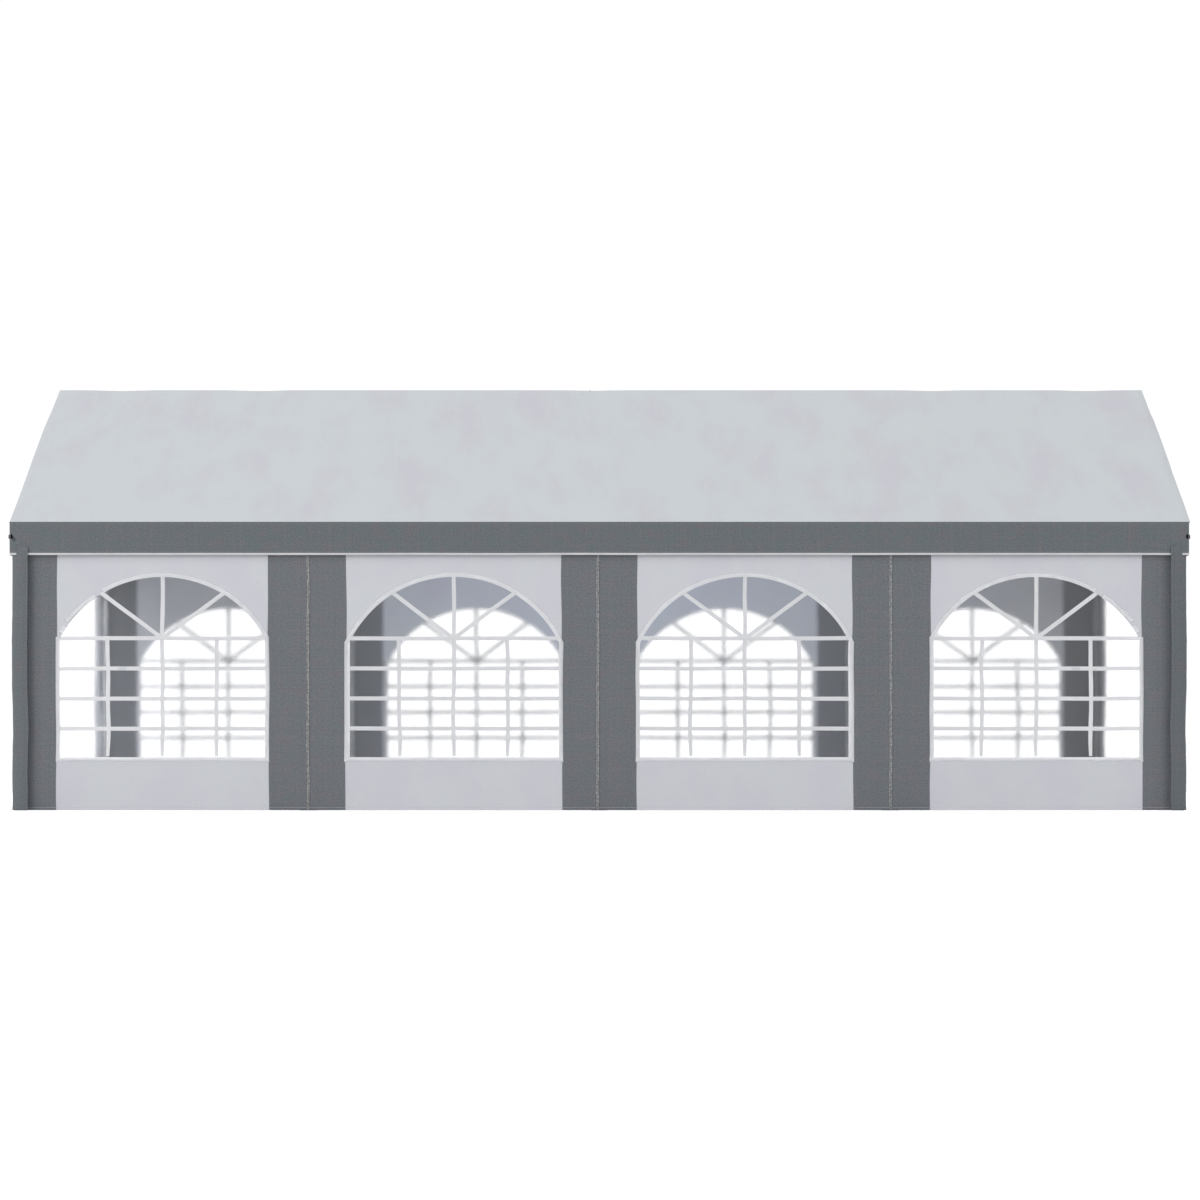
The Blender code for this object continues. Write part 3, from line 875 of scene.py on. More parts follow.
# Valance binding
# A white tape, folded over the valance's lower edge and stitched through, so that it shows
# as a white line 20 mm high on both faces.
BINDING_SECTION = [
    (-0.0016, 1.0), (-0.0018, 0.35), (-0.0014, 0.08), (-0.0006, 0.0),
    (0.0006, 0.0), (0.0014, 0.08), (0.0018, 0.35), (0.0016, 1.0),
]
binding_fabric = Fabric(
    "white_binding", (0.437, 0.437, 0.452), (0.40, 0.40, 0.42), 0.12, 1.0, 0.80, roughness=0.5, grain=0.03
)
binding_row = calculate(binding_fabric.tree, "PINGPONG", binding_fabric.across, 0.0148)
binding_row = calculate(binding_fabric.tree, "SUBTRACT", binding_row, 0.0115)
binding_fabric.sew(binding_row, binding_fabric.up, thread=(0.42, 0.42, 0.43))
BINDING = binding_fabric.done()

binding = Patchwork()
rows = []
for run in valance_runs[:-1]:
    row = []
    for out, rise in BINDING_SECTION:
        row.append(hang_valance(run, VALANCE_BOTTOM + rise * BINDING_HEIGHT, out))
    rows.append(row)
binding.add(rows, around=True, closed=True)
binding_tape = binding.sew("valance_binding", BINDING, "piping")

# Valance buttons
# A round moulded button sits on each end of the valance close to its corners. Its elastic
# goes through a short slot in the long side and pulls the corner in. The slot is drawn as a
# near-black patch on the valance: painted shade for the dark inside of the slot.
BUTTON_RADIUS = 0.015
BUTTON_HEIGHT = 0.0085


def moulded(name, colour, roughness, **fields):
    """Moulded plastic with a fine leathery skin and slight gloss changes."""
    material, tree, shader = new_material(name, roughness, **fields)
    place = add_node(tree, "TexCoord", {}).outputs["Object"]
    skin = add_node(tree, "TexNoise", {"Vector": place, "Scale": 900.0, "Detail": 2.0}).outputs[0]
    cloud = add_node(tree, "TexNoise", {"Vector": place, "Scale": 60.0}).outputs[0]
    light = tuple(part * 1.5 for part in colour)
    connect(tree, blend_colours(tree, cloud, colour, light), shader, "Base Color")
    rough = calculate(tree, "MULTIPLY_ADD", cloud, 0.2, roughness - 0.1)
    connect(tree, rough, shader, "Roughness")
    bump = add_node(tree, "Bump", {"Strength": 0.3, "Distance": 0.0003, "Height": skin})
    connect(tree, bump.outputs[0], shader, "Normal")
    return material


BUTTON_PLASTIC = moulded("grey_button_plastic", (0.120, 0.126, 0.135), 0.45)
# Near-black lining of the slots: painted shade standing in for the dark hole in the valance.
SLOT_PAINTED_SHADE = moulded("slot_painted_shade_lining", (0.004, 0.004, 0.005), 0.85, Specular_IOR_Level=0.1)
for end_name, end in ENDS.items():
    for side_name, side in SIDES.items():
        button = Patchwork()
        base = Vector((end * (VALANCE_X + SHEET / 2), side * (VALANCE_Y - 0.022), DENT_HEIGHT))
        profile = [
            (-0.002, BUTTON_RADIUS * 0.55), (0.001, BUTTON_RADIUS * 0.6), (0.0015, BUTTON_RADIUS * 0.94),
            (0.0025, BUTTON_RADIUS), (0.006, BUTTON_RADIUS), (0.0078, BUTTON_RADIUS * 0.9),
            (BUTTON_HEIGHT, BUTTON_RADIUS * 0.7), (0.0080, BUTTON_RADIUS * 0.45), (0.0076, 0.001),
        ]
        turn(button, base, base + X_AXIS * end, profile)
        name = f"valance_button_{end_name}_{side_name}"
        button.sew(name, BUTTON_PLASTIC, "black_plastic")

        # A thin near-black lens laid on the dent: painted shade where the slot's hole would be dark.
        slot = Patchwork()
        mouth = SLOT_PLACES[end_name, side_name][0]
        rows = []
        for height, width in ((0.0002, 0.0068), (0.0012, 0.0080), (0.0020, 0.0074), (0.0016, 0.002)):
            row = []
            for step in range(24):
                angle = 2 * math.pi * step / 24
                tall = math.copysign(width, math.sin(angle)) + width * math.sin(angle)
                row.append(hang_valance(mouth + width * math.cos(angle), DENT_HEIGHT + tall, height))
            rows.append(row)
        slot.add(rows, around=True, caps=True)
        name = f"valance_slot_shade_{end_name}_{side_name}"
        slot.sew(name, SLOT_PAINTED_SHADE, "black_plastic")

# Side walls
# Four panels a side, each a pale sheet with a big arched hole for its window. They hang from
# the eave rail, straight at the legs and a little slack between them, and have a bottom hem.
wall_low, wall_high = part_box("sidewall_front_2")
WALL_MIDDLE = middle("window_back_2").y
WALL_BOTTOM = wall_low.z
WALL_TOP = wall_high.z
window_low, window_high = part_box("window_front_2")
SILL = window_low.z
CROWN = window_high.z
ARCH_RADIUS = 0.828
ARCH_HUB = CROWN - ARCH_RADIUS
LIGHT_HALVES = (0.724, 0.738, 0.738, 0.724)
LIGHT_FLARE = 0.006
SEAM_ALLOWANCE = 0.014
HOLE_INSET = 0.012
HOLE_RADIUS = ARCH_RADIUS - 0.0265
WALL_HEM = 0.022
HEM_RISE = 0.0009
POCKET_X = 3.925
POCKET_WIDTH = 0.045
POCKET_DEPTH = 0.012


def hang_wall(side, x, z, out=0.0):
    """Where a point of a side wall hangs, out metres outside the wall's middle plane."""
    loose = min(1.0, max(0.0, (WALL_TOP - z) / 0.7))
    pocket = POCKET_DEPTH * math.exp(-(((abs(x) - POCKET_X) / POCKET_WIDTH) ** 2))
    billow = 0.0055 * bay_share(x) * loose * (0.35 + ripple(x, z / 1.6, 0.42, 3.0 + side))
    sway = 0.0055 * ripple(x / 1.5, z, 0.33, 11.0 + side)
    lift = 0.0020 * ripple(x, z, 0.5, 20.0 + side)
    in_hem = HEM_RISE if z < WALL_BOTTOM + WALL_HEM and out >= 0 else 0.0
    height = max(z + lift * min(1.0, z / 0.2), WALL_BOTTOM * 0.5)
    return Vector((x + sway, side * (WALL_MIDDLE + billow + out + in_hem - pocket), height))


def arch_height(offset, radius, half):
    """Height of an arched outline at a distance from the window's middle."""
    return ARCH_HUB + math.sqrt(radius**2 - min(abs(offset), half) ** 2)


def flare(z):
    """How much wider each pale panel is below its window than above it, on each side."""
    return LIGHT_FLARE * min(1.0, max(0.0, (1.15 - z) / 0.8))


wall_fabric = Fabric(
    "wall_polyethylene", (0.421, 0.433, 0.460), (0.419, 0.416, 0.462), 0.30, 1.4, 0.84
)
hem_row = calculate(wall_fabric.tree, "SUBTRACT", wall_fabric.up, WALL_BOTTOM + WALL_HEM - 0.004)
wall_fabric.sew(hem_row, thread=(0.36, 0.37, 0.40))
WALL_FABRIC = wall_fabric.done()

CENTRES = [(left + right) / 2 for left, right in zip(STATIONS, STATIONS[1:])]
HEM_LINES = [WALL_BOTTOM + WALL_HEM - 0.0005, WALL_BOTTOM + WALL_HEM]
hole_lines = {}
for side_name, side in SIDES.items():
    for number, centre in enumerate(CENTRES, start=1):
        hole_half = LIGHT_HALVES[number - 1] - HOLE_INSET
        reach = LIGHT_HALVES[number - 1] + SEAM_ALLOWANCE
        offsets = stops(-reach, reach, 0.034, -hole_half, hole_half)
        below = stops(WALL_BOTTOM, SILL + HOLE_INSET, 0.04, *HEM_LINES)
        levels = len(below) - 1
        beside, above = 22, 20
        rows = []
        for level in range(levels + beside + above + 1):
            row = []
            for offset in offsets:
                arch = arch_height(offset, HOLE_RADIUS, hole_half)
                if level <= levels:
                    z = below[level]
                elif level <= levels + beside:
                    z = below[-1] + (arch - below[-1]) * (level - levels) / beside
                else:
                    z = arch + (WALL_TOP - arch) * (level - levels - beside) / above
                row.append((centre + offset, z))
            rows.append(row)

        def outside_hole(i, j, offsets=offsets, half=hole_half, levels=levels, beside=beside):
            over_hole = -half <= (offsets[i] + offsets[i + 1]) / 2 <= half
            return not (over_hole and levels <= j < levels + beside)

        panel = Patchwork()
        points = [[hang_wall(side, x, z) for x, z in row] for row in rows]
        panel.add(points, cuts=rows, keep=outside_hole)
        name = f"wall_sheet_{side_name}_{number}"
        node = f"sidewall_{side_name}_{number}"
        sheet = panel.sew(name, WALL_FABRIC, "wall_sheet", [node], thickness=SHEET)

# Dark bands
# A dark grey strip is sewn down both edges of every wall panel. Where two panels meet, the
# left one laps over the right one, and its edge is bound with a tape sewn in pale thread.
LAP_UNDER = 0.035
LAP_RISE = 0.0018
BAND_OUT = 0.0013
EDGE_STITCH = 0.007
SEAM_TAPE = 0.020
SEAM_SHIFTS = {1: -0.001, 2: -0.011, 3: 0.001}
BAND = (0.090, 0.102, 0.115)
BAND_TINT = (0.104, 0.101, 0.113)
wall_end_low, wall_end_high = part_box("sidewall_front_1")
WALL_END = -wall_end_low.x

band_fabric = Fabric("band_polyethylene", BAND, BAND_TINT, 0.11, 0.6, 0.86, grain=0.24)
tree = band_fabric.tree
edge_row = calculate(tree, "PINGPONG", band_fabric.across, 1.0)
edge_row = calculate(tree, "SUBTRACT", edge_row, EDGE_STITCH)
band_fabric.sew(edge_row, band_fabric.up, thread=DARK_THREAD)
hem_row = calculate(tree, "SUBTRACT", band_fabric.up, WALL_BOTTOM + WALL_HEM - 0.005)
band_fabric.sew(hem_row, thread=(0.34, 0.34, 0.35))
BAND_FABRIC = band_fabric.done()

seam_fabric = Fabric(
    "seam_tape", (0.150, 0.150, 0.157), (0.118, 0.120, 0.127), 0.05, 1.0, 0.57, grain=0.10
)
SEAM_FABRIC = seam_fabric.done()


def thread_material():
    """Pale polyester thread, twisted, soiled in places."""
    material, tree, shader = new_material("pale_thread", 0.8)
    place = add_node(tree, "TexCoord", {}).outputs["Object"]
    soil = add_node(tree, "TexNoise", {"Vector": place, "Scale": 70.0, "Detail": 3.0}).outputs[0]
    share = soft_step(tree, soil, 0.42, 0.60)
    colour = blend_colours(tree, share, (0.15, 0.15, 0.155), (0.52, 0.52, 0.53))
    connect(tree, colour, shader, "Base Color")
    twist = add_node(tree, "TexWave", {"Vector": place, "Scale": 400.0}, bands_direction="DIAGONAL")
    bump = add_node(tree, "Bump", {"Strength": 0.4, "Distance": 0.0003, "Height": twist.outputs[1]})
    connect(tree, bump.outputs[0], shader, "Normal")
    return material


THREAD = thread_material()


def stitch(work, start, end, out, width=0.0024, height=0.0012):
    """Add one stitch: a low rounded bar of thread from start to end."""
    along = (end - start) / 3
    across = along.cross(out).normalized() * width / 2
    rows = []
    for step, rise in ((0, 0.1), (1, 1.0), (2, 1.0), (3, 0.1)):
        centre = start + along * step
        rows.append([centre - across, centre + out * height * rise, centre + across])
    work.add(rows)


def sew_seam(work, side, edge, out):
    """Add the zigzag and the straight row of pale stitches down a seam tape."""
    outward = Vector((0.0, side, 0.0))
    pitch = 0.0075
    for index in range(int((WALL_TOP - WALL_BOTTOM - 0.02) / pitch)):
        z = WALL_BOTTOM + 0.006 + index * pitch
        slant = 0.0022 if index % 2 else -0.0022
        drift = 0.0012 * ripple(z, 0.0, 0.09, edge)
        for inset, lean in ((0.0052, slant), (0.0150, 0.0)):
            x = edge - inset + drift
            start = hang_wall(side, x - lean, z, out)
            end = hang_wall(side, x + lean, z + pitch * 0.86, out)
            stitch(work, start, end, outward)


for side_name, side in SIDES.items():
    for number, centre in enumerate(CENTRES, start=1):
        first, last = number == 1, number == len(CENTRES)
        left_edge = -WALL_END if first else STATIONS[number - 1] - LAP_UNDER
        right_edge = WALL_END if last else STATIONS[number] + SEAM_SHIFTS[number] + SEAM_TAPE / 2
        for way, outer in ((-1, left_edge), (1, right_edge)):
            laps = way > 0 and not last
            width = abs(outer - centre) - LIGHT_HALVES[number - 1]
            lines = [width - 0.03] if laps else []
            inward = stops(0.0, width, 0.045, *lines)
            index = 2 * (2 * number + (way > 0) + (10 if side > 0 else 0))
            points, cuts = [], []
            for z in stops(WALL_BOTTOM, WALL_TOP, 0.045, *HEM_LINES):
                inner = LIGHT_HALVES[number - 1] + flare(z)
                line = []
                for distance in inward:
                    x = centre + way * (inner + distance * (1 - flare(z) / width))
                    share = min(1.0, max(0.0, 1 - (width - distance) / 0.075)) if laps else 0.0
                    rise = LAP_RISE * share * share * (3 - 2 * share)
                    line.append(hang_wall(side, x, z, BAND_OUT + rise))
                points.append(line)
                cuts.append([(index + distance, z) for distance in inward])
            band = Patchwork()
            band.add(points, cuts=cuts)
            name = f"wall_band_{side_name}_{number}_{'right' if way > 0 else 'left'}"
            sheet = band.sew(name, BAND_FABRIC, "grey_sheet", thickness=SHEET)
            if laps:
                binding = Patchwork()
                out = BAND_OUT + LAP_RISE + SHEET
                across = [outer - SEAM_TAPE, outer - SEAM_TAPE / 2, outer]
                rows = [[(x, z) for x in across] for z in stops(WALL_BOTTOM, WALL_TOP, 0.045)]
                points = [[hang_wall(side, x, z, out) for x, z in row] for row in rows]
                binding.add(points, cuts=rows)
                name = f"wall_seam_{side_name}_{number}"
                binding.sew(name, SEAM_FABRIC, "grey_sheet", thickness=SHEET)
                seam = Patchwork()
                sew_seam(seam, side, outer, out + SHEET / 2)
                name = f"wall_stitches_{side_name}_{number}"
                seam.sew(name, THREAD, "piping")

# Window film
# Each window is a sheet of clear soft film, half a millimetre thick, welded behind the hole in
# the wall sheet. It isn't quite clear, so that things behind it look a little soft.
FILM = 0.0005
FILM_OUT = -0.0011
FILM_LAP = 0.008


def film_material():
    """Clear soft film with a trace of haze."""
    material, tree, shader = new_material("clear_film", 0.05, IOR=1.46, Transmission_Weight=1.0)
    place = add_node(tree, "UVMap", {}, uv_map="cut").outputs[0]
    haze = add_node(tree, "TexNoise", {"Vector": place, "Scale": 5.0, "Detail": 3.0}).outputs[0]
    colour = blend_colours(tree, haze, (1.0, 1.0, 1.0), (0.985, 0.99, 1.0))
    connect(tree, colour, shader, "Base Color")
    rough = calculate(tree, "MULTIPLY_ADD", haze, 0.02, 0.03)
    connect(tree, rough, shader, "Roughness")
    pebbles = add_node(tree, "TexNoise", {"Vector": place, "Scale": 150.0, "Detail": 2.0}).outputs[0]
    bump = add_node(tree, "Bump", {"Strength": 1.0, "Distance": 0.00008, "Height": pebbles})
    connect(tree, bump.outputs[0], shader, "Normal")
    return material


CLEAR_FILM = film_material()
for side_name, side in SIDES.items():
    for number, centre in enumerate(CENTRES, start=1):
        reach = LIGHT_HALVES[number - 1] - HOLE_INSET + FILM_LAP
        offsets = stops(-reach, reach, 0.045, 0.0)
        rows = []
        for step in range(27):
            row = []
            for offset in offsets:
                low = SILL + HOLE_INSET - FILM_LAP
                top = arch_height(offset, HOLE_RADIUS + FILM_LAP, reach)
                row.append((centre + offset, low + (top - low) * step / 26))
            rows.append(row)
        film = Patchwork()
        points = [[hang_wall(side, x, z, FILM_OUT) for x, z in row] for row in rows]
        film.add(points, cuts=rows)
        name = f"window_film_{side_name}_{number}"
        node = f"window_{side_name}_{number}"
        sheet = film.sew(name, CLEAR_FILM, "window_film", [node], thickness=FILM)

# Window bars
# White plastic tapes, 28 mm wide, are welded on the film and round the edge of the hole, so
# that the window looks paned: three uprights, four crossbars and two rays under the arch. A
# crossbar of each outer window has a short patch of greyer tape on it.
TAPE = 0.028
TAPE_HIGH = 0.0030
TAPE_LOW = 0.0003
BAR_LOW = -0.0012
BAR_HIGH = 0.0004
FRAME_HALVES = (0.7325, 0.7505, 0.7505, 0.7340)
TOP_BAR = 1.182
CROSSBARS = (TOP_BAR, 0.9755, 0.769, 0.563)
UPRIGHTS = (-0.374, 0.0, 0.371)
RAY_ANGLE = math.radians(36.7)
BOTTOM_TAPE = 0.025
BAR_GAP = 0.007
MID_RADIUS = ARCH_RADIUS - TAPE / 2
TAPE_JOINT = 0.53
BROKEN_ARCHES = {1: -1, len(CENTRES): 1}
SIDE_TAPE = 0.029
WIDE_SIDES = {(2, -1): 0.038, (3, 1): 0.038}
TAPE_CLARITY = 0.55
PATCHED_BAR = CROSSBARS[1]
PATCH_PLACES = {1: -3.274, len(CENTRES): 3.273}
PATCH_HALF = 0.0275


def window_tape_material(name, clean, smudged):
    """Milky soft plastic that lets much of the light through, scattered, with faint smudges."""
    material, tree, shader = new_material(name, 0.85, IOR=1.28, Transmission_Weight=TAPE_CLARITY)
    place = add_node(tree, "UVMap", {}, uv_map="cut").outputs[0]
    smudge = add_node(tree, "TexNoise", {"Vector": place, "Scale": 14.0, "Detail": 4.0}).outputs[0]
    share = soft_step(tree, smudge, 0.42, 0.66)
    connect(tree, blend_colours(tree, share, clean, smudged), shader, "Base Color")
    rough = calculate(tree, "MULTIPLY_ADD", smudge, 0.15, 0.78)
    connect(tree, rough, shader, "Roughness")
    fine = add_node(tree, "TexNoise", {"Vector": place, "Scale": 240.0, "Detail": 2.0}).outputs[0]
    bump = add_node(tree, "Bump", {"Strength": 0.2, "Distance": 0.0003, "Height": fine})
    connect(tree, bump.outputs[0], shader, "Normal")
    return material


WINDOW_TAPE = window_tape_material(
    "white_window_tape", (0.850, 0.853, 0.870), (0.816, 0.819, 0.838)
)
PATCH_TAPE = window_tape_material("grey_window_tape", (0.71, 0.72, 0.74), (0.68, 0.69, 0.71))


def tape(work, side, centre, line, low, high, widths=(TAPE, TAPE), wave=0.0, slant=0.0):
    """Add a tape with softened edges along a line of (offset, height) points on the wall."""
    edge = high - 0.0006
    section = [(-0.5, low), (-0.5, edge), (-0.40, high), (0.40, high), (0.5, edge), (0.5, low)]
    rows = []
    last = len(line) - 1
    for index, point in enumerate(line):
        ahead = (line[min(last, index + 1)] - line[max(0, index - 1)]).normalized()
        across = Vector((-ahead.y, ahead.x))
        width = widths[0] + (widths[1] - widths[0]) * index / last
        width *= 1 + 12 * wave * ripple(centre + point.x, point.y, 0.13, 33.0 + side)
        shift = wave * ripple(centre + point.x, point.y, 0.27, 31.0 + side)
        row = []
        for share, out in section:
            skew = slant * share if index in (0, last) else 0.0
            place = point + across * (width * share + shift) + ahead * skew
            row.append(hang_wall(side, centre + place.x, place.y, out))
        rows.append(row)
    work.add(rows, around=True, caps=True)


def straight(start, end, step=0.05):
    start, end = Vector(start), Vector(end)
    count = max(1, math.ceil((end - start).length / step))
    return [start + (end - start) * i / count for i in range(count + 1)]


def arc(radius, low, high, step=0.04):
    """Points on the window's arch between two angles, measured from its crown."""
    count = max(2, math.ceil(radius * (high - low) / step))
    angles = [low + (high - low) * i / count for i in range(count + 1)]
    return [Vector((radius * math.sin(a), ARCH_HUB + radius * math.cos(a))) for a in angles]


def ray_length():
    """How far a ray runs from the middle of the top bar to the arch."""
    rise = TOP_BAR - ARCH_HUB
    along = rise * math.sin(RAY_ANGLE)
    return -along + math.sqrt(along**2 + (MID_RADIUS - 0.006) ** 2 - rise**2)


def window_bars(side, centre, number):
    """All the tapes of one window; the arch tapes of the outer two were patched."""
    bars = Patchwork()
    frame_half = FRAME_HALVES[number - 1]
    half = frame_half - TAPE / 2
    for height in CROSSBARS:
        line = straight((-half, height), (half, height))
        tape(bars, side, centre, line, BAR_LOW, BAR_HIGH, wave=0.0015)
    for offset in UPRIGHTS:
        top = CROWN - TAPE / 2 if offset == 0 else TOP_BAR
        low = SILL + BOTTOM_TAPE + BAR_GAP
        high = BAR_HIGH + 0.0003
        line = straight((offset, low + 0.12), (offset, top))
        tape(bars, side, centre, line, BAR_LOW, high, wave=0.008)
        line = straight((offset, low), (offset, low + 0.12), 0.03)
        tape(bars, side, centre, line, BAR_LOW, high, widths=(0.022, TAPE), wave=0.008)
    for way in (-1, 1):
        tip = Vector((way * math.cos(RAY_ANGLE), math.sin(RAY_ANGLE))) * ray_length()
        line = straight((0.0, TOP_BAR), tip + Vector((0.0, TOP_BAR)))
        tape(bars, side, centre, line, BAR_LOW, BAR_HIGH + 0.0006, wave=0.002)
        wide = WIDE_SIDES.get((number, way), SIDE_TAPE)
        side_x = way * (frame_half - wide / 2)
        widths = (wide, wide)
        edge = straight((side_x, SILL), (side_x, TAPE_JOINT + 0.02))
        high = TAPE_HIGH + 0.0008
        tape(bars, side, centre, edge, TAPE_LOW, high, widths=widths, slant=way * 0.02)
        spring = ARCH_HUB + math.sqrt(MID_RADIUS**2 - half**2)
        edge = straight((side_x, TAPE_JOINT), (side_x, spring + 0.008))
        tape(bars, side, centre, edge, TAPE_LOW, TAPE_HIGH, widths=widths)
    bottom = SILL + BOTTOM_TAPE / 2
    line = straight((-frame_half, bottom), (frame_half, bottom))
    widths = (BOTTOM_TAPE, BOTTOM_TAPE)
    tape(bars, side, centre, line, TAPE_LOW, TAPE_HIGH + 0.0003, widths=widths)
    spring_angle = math.asin(half / MID_RADIUS) - 0.004
    high = TAPE_HIGH + 0.0002
    broken = BROKEN_ARCHES.get(number, 0)
    if not broken:
        tape(bars, side, centre, arc(MID_RADIUS, -spring_angle, spring_angle), TAPE_LOW, high)
        return bars
    ends = sorted((broken * 0.523, -broken * spring_angle))
    tape(bars, side, centre, arc(MID_RADIUS, *ends), TAPE_LOW, high)
    piece = [
        Vector((broken * radius * math.sin(angle), ARCH_HUB + radius * math.cos(angle)))
        for radius, angle in ((0.812, 0.603), (0.8165, 0.70), (0.8200, 0.81), (0.8265, 0.925))
    ]
    tape(bars, side, centre, piece, TAPE_LOW, TAPE_HIGH + 0.0012, widths=(0.030, 0.024))
    ends = sorted((broken * 0.966, broken * 1.03))
    tape(bars, side, centre, arc(MID_RADIUS + 0.001, *ends), TAPE_LOW, high)
    return bars


for side_name, side in SIDES.items():
    for number, centre in enumerate(CENTRES, start=1):
        bars = window_bars(side, centre, number)
        bars.sew(f"window_bars_{side_name}_{number}", WINDOW_TAPE, "piping")
        if number in PATCH_PLACES:
            patch = Patchwork()
            place = PATCH_PLACES[number] - centre
            line = straight((place - PATCH_HALF, PATCHED_BAR), (place + PATCH_HALF, PATCHED_BAR))
            tape(patch, side, centre, line, BAR_HIGH + 0.0001, BAR_HIGH + 0.0009, wave=0.0015)
            patch.sew(f"window_bar_patch_{side_name}_{number}", PATCH_TAPE, "piping")

# End strips
# Beside each doorway hangs a pale strip of sheet, a third of a metre wide, hemmed along the
# doorway. It reaches from the end bar to the ground and is sewn on inside the side wall.
strip_low, strip_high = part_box("end_wall_left_front")
STRIP_X = -strip_low.x - 0.0015
STRIP_OUTER = -strip_low.y
STRIP_INNER = -strip_high.y
STRIP_HEM = 0.022
STRIP_TURN = STRIP_OUTER - 0.004
STRIP_ALLOWANCE = 0.036
CORNER_SWAY = (
    (0.0, -0.001), (0.11, -0.002), (0.23, 0.0), (0.40, -0.002), (0.58, -0.007), (0.70, -0.003),
    (0.85, 0.002), (1.16, 0.003), (1.40, 0.0), (1.60, -0.001), (1.90, 0.0),
)


def corner_sway(z):
    """How far the sheets at a corner hang outwards of the plumb line."""
    return between(CORNER_SWAY, z) + 0.0012 * ripple(0.0, z, 0.06, 85.0)


def hang_strip(end, side, y, z, out=0.0):
    """Where a point of an end strip hangs; beyond its turn it lies inside the side wall."""
    if y > STRIP_TURN:
        return hang_wall(side, end * (STRIP_X + corner_sway(z) - y + STRIP_TURN), z, -0.003)
    loose = min(1.0, (WALL_TOP - z) / 0.7)
    slack = max(0.0, min(1.0, (STRIP_OUTER - y) / 0.25))
    wave = 0.007 * loose * slack * ripple(y, z, 0.38, 50.0 + end + 2 * side)
    edge = 0.004 * slack * ripple(0.0, z, 0.30, 60.0 + end + 2 * side)
    return Vector((end * (STRIP_X + corner_sway(z) + wave + out), side * (y + edge), z))


strip_fabric = Fabric(
    "strip_polyethylene", (0.421, 0.433, 0.460), (0.419, 0.416, 0.462), 0.30, 1.4, 0.84
)
tree = strip_fabric.tree
door_row = calculate(tree, "SUBTRACT", strip_fabric.across, STRIP_INNER + STRIP_HEM - 0.004)
strip_fabric.sew(door_row, strip_fabric.up, thread=(0.36, 0.37, 0.40))
hem_row = calculate(tree, "SUBTRACT", strip_fabric.up, WALL_BOTTOM + WALL_HEM - 0.004)
strip_fabric.sew(hem_row, thread=(0.36, 0.37, 0.40))
STRIP_FABRIC = strip_fabric.done()

for end_name, end in ENDS.items():
    for side_name, side in SIDES.items():
        hem_end = STRIP_INNER + STRIP_HEM
        lines = [hem_end, hem_end + 0.0005, STRIP_TURN]
        across = stops(STRIP_INNER, STRIP_TURN + STRIP_ALLOWANCE, 0.03, *lines)
        up = stops(WALL_BOTTOM, WALL_TOP, 0.045, *HEM_LINES)
        rows = [[(y, z) for y in across] for z in up]

        def strip_point(y, z, end=end, side=side, hem_end=hem_end):
            in_hem = y <= hem_end or z < WALL_BOTTOM + WALL_HEM
            return hang_strip(end, side, y, z, HEM_RISE if in_hem else 0.0)

        strip = Patchwork()
        strip.add([[strip_point(y, z) for y, z in row] for row in rows], cuts=rows)
        name = f"end_strip_{end_name}_{side_name}"
        node = f"end_wall_{end_name}_{side_name}"
        sheet = strip.sew(name, STRIP_FABRIC, "wall_sheet", [node], thickness=SHEET)

# Corner flaps
# A dark flap, sewn to each end strip, wraps round the corner of the tent. It hangs from a
# tongue that lies over the valance, so its hemmed edge stands a little off the side wall.
FLAP_TOP = 1.800
FLAP_HEM = 0.022
SLIT_BOTTOM = 1.735
TONGUE_WIDTH = 0.079
TONGUE_TOP = 1.822
FLAP_PLAN = (
    (3.9205, 2.0605), (3.960, 2.0575), (3.995, 2.0505), (4.014, 2.0435), (4.0245, 2.0355),
    (4.0305, 2.0250), (4.0325, 2.0120), (4.0325, 1.9900),
)


def plan_length():
    corners = [Vector(point) for point in FLAP_PLAN]
    return sum((after - before).length for before, after in zip(corners, corners[1:]))


def on_plan(run):
    """Point and outward way on the flap's plan, run metres from its free edge."""
    corners = [Vector(point) for point in FLAP_PLAN]
    for before, after in zip(corners, corners[1:]):
        length = (after - before).length
        if run <= length or after is corners[-1]:
            ahead = (after - before) / length
            return before + ahead * run, Vector((-ahead.y, ahead.x))
        run -= length


def flap_point(end, side, run, z, lift=0.0):
    """Where a point of the flap hangs; the tongue and the part beside it part at the slit."""
    place, out = on_plan(run)
    drape = 0.0030 * ripple(run, z, 0.26, 70.0 + end + 2 * side) * math.sin(math.pi * min(1.0, run / 0.1))
    x = place.x + out.x * (lift + drape) + corner_sway(z)
    y = place.y + out.y * (lift + drape)
    parted = between(((SLIT_BOTTOM, 0.0), (VALANCE_BOTTOM - 0.001, 1.0)), z)
    if run <= TONGUE_WIDTH:
        over = VALANCE_Y + 0.0042 + 0.0010 * ripple(x, z, 0.03, 90.0 + end + side)
        y += (max(y, over) - y) * parted
        y += (over - y) * between(((1.755, 0.0), (TONGUE_TOP, 1.0)), z)
    else:
        y += (min(y, VALANCE_Y - 0.0050) - y) * parted
    return Vector((end * x, side * y, z))


flap_fabric = Fabric(
    "flap_polyethylene", (0.072, 0.086, 0.096), (0.086, 0.086, 0.096), 0.11, 0.6, 0.87, grain=0.24
)
flap_row = calculate(flap_fabric.tree, "SUBTRACT", flap_fabric.across, FLAP_HEM - 0.003)
flap_fabric.sew(flap_row, flap_fabric.up, thread=(0.075, 0.08, 0.085))
FLAP_FABRIC = flap_fabric.done()

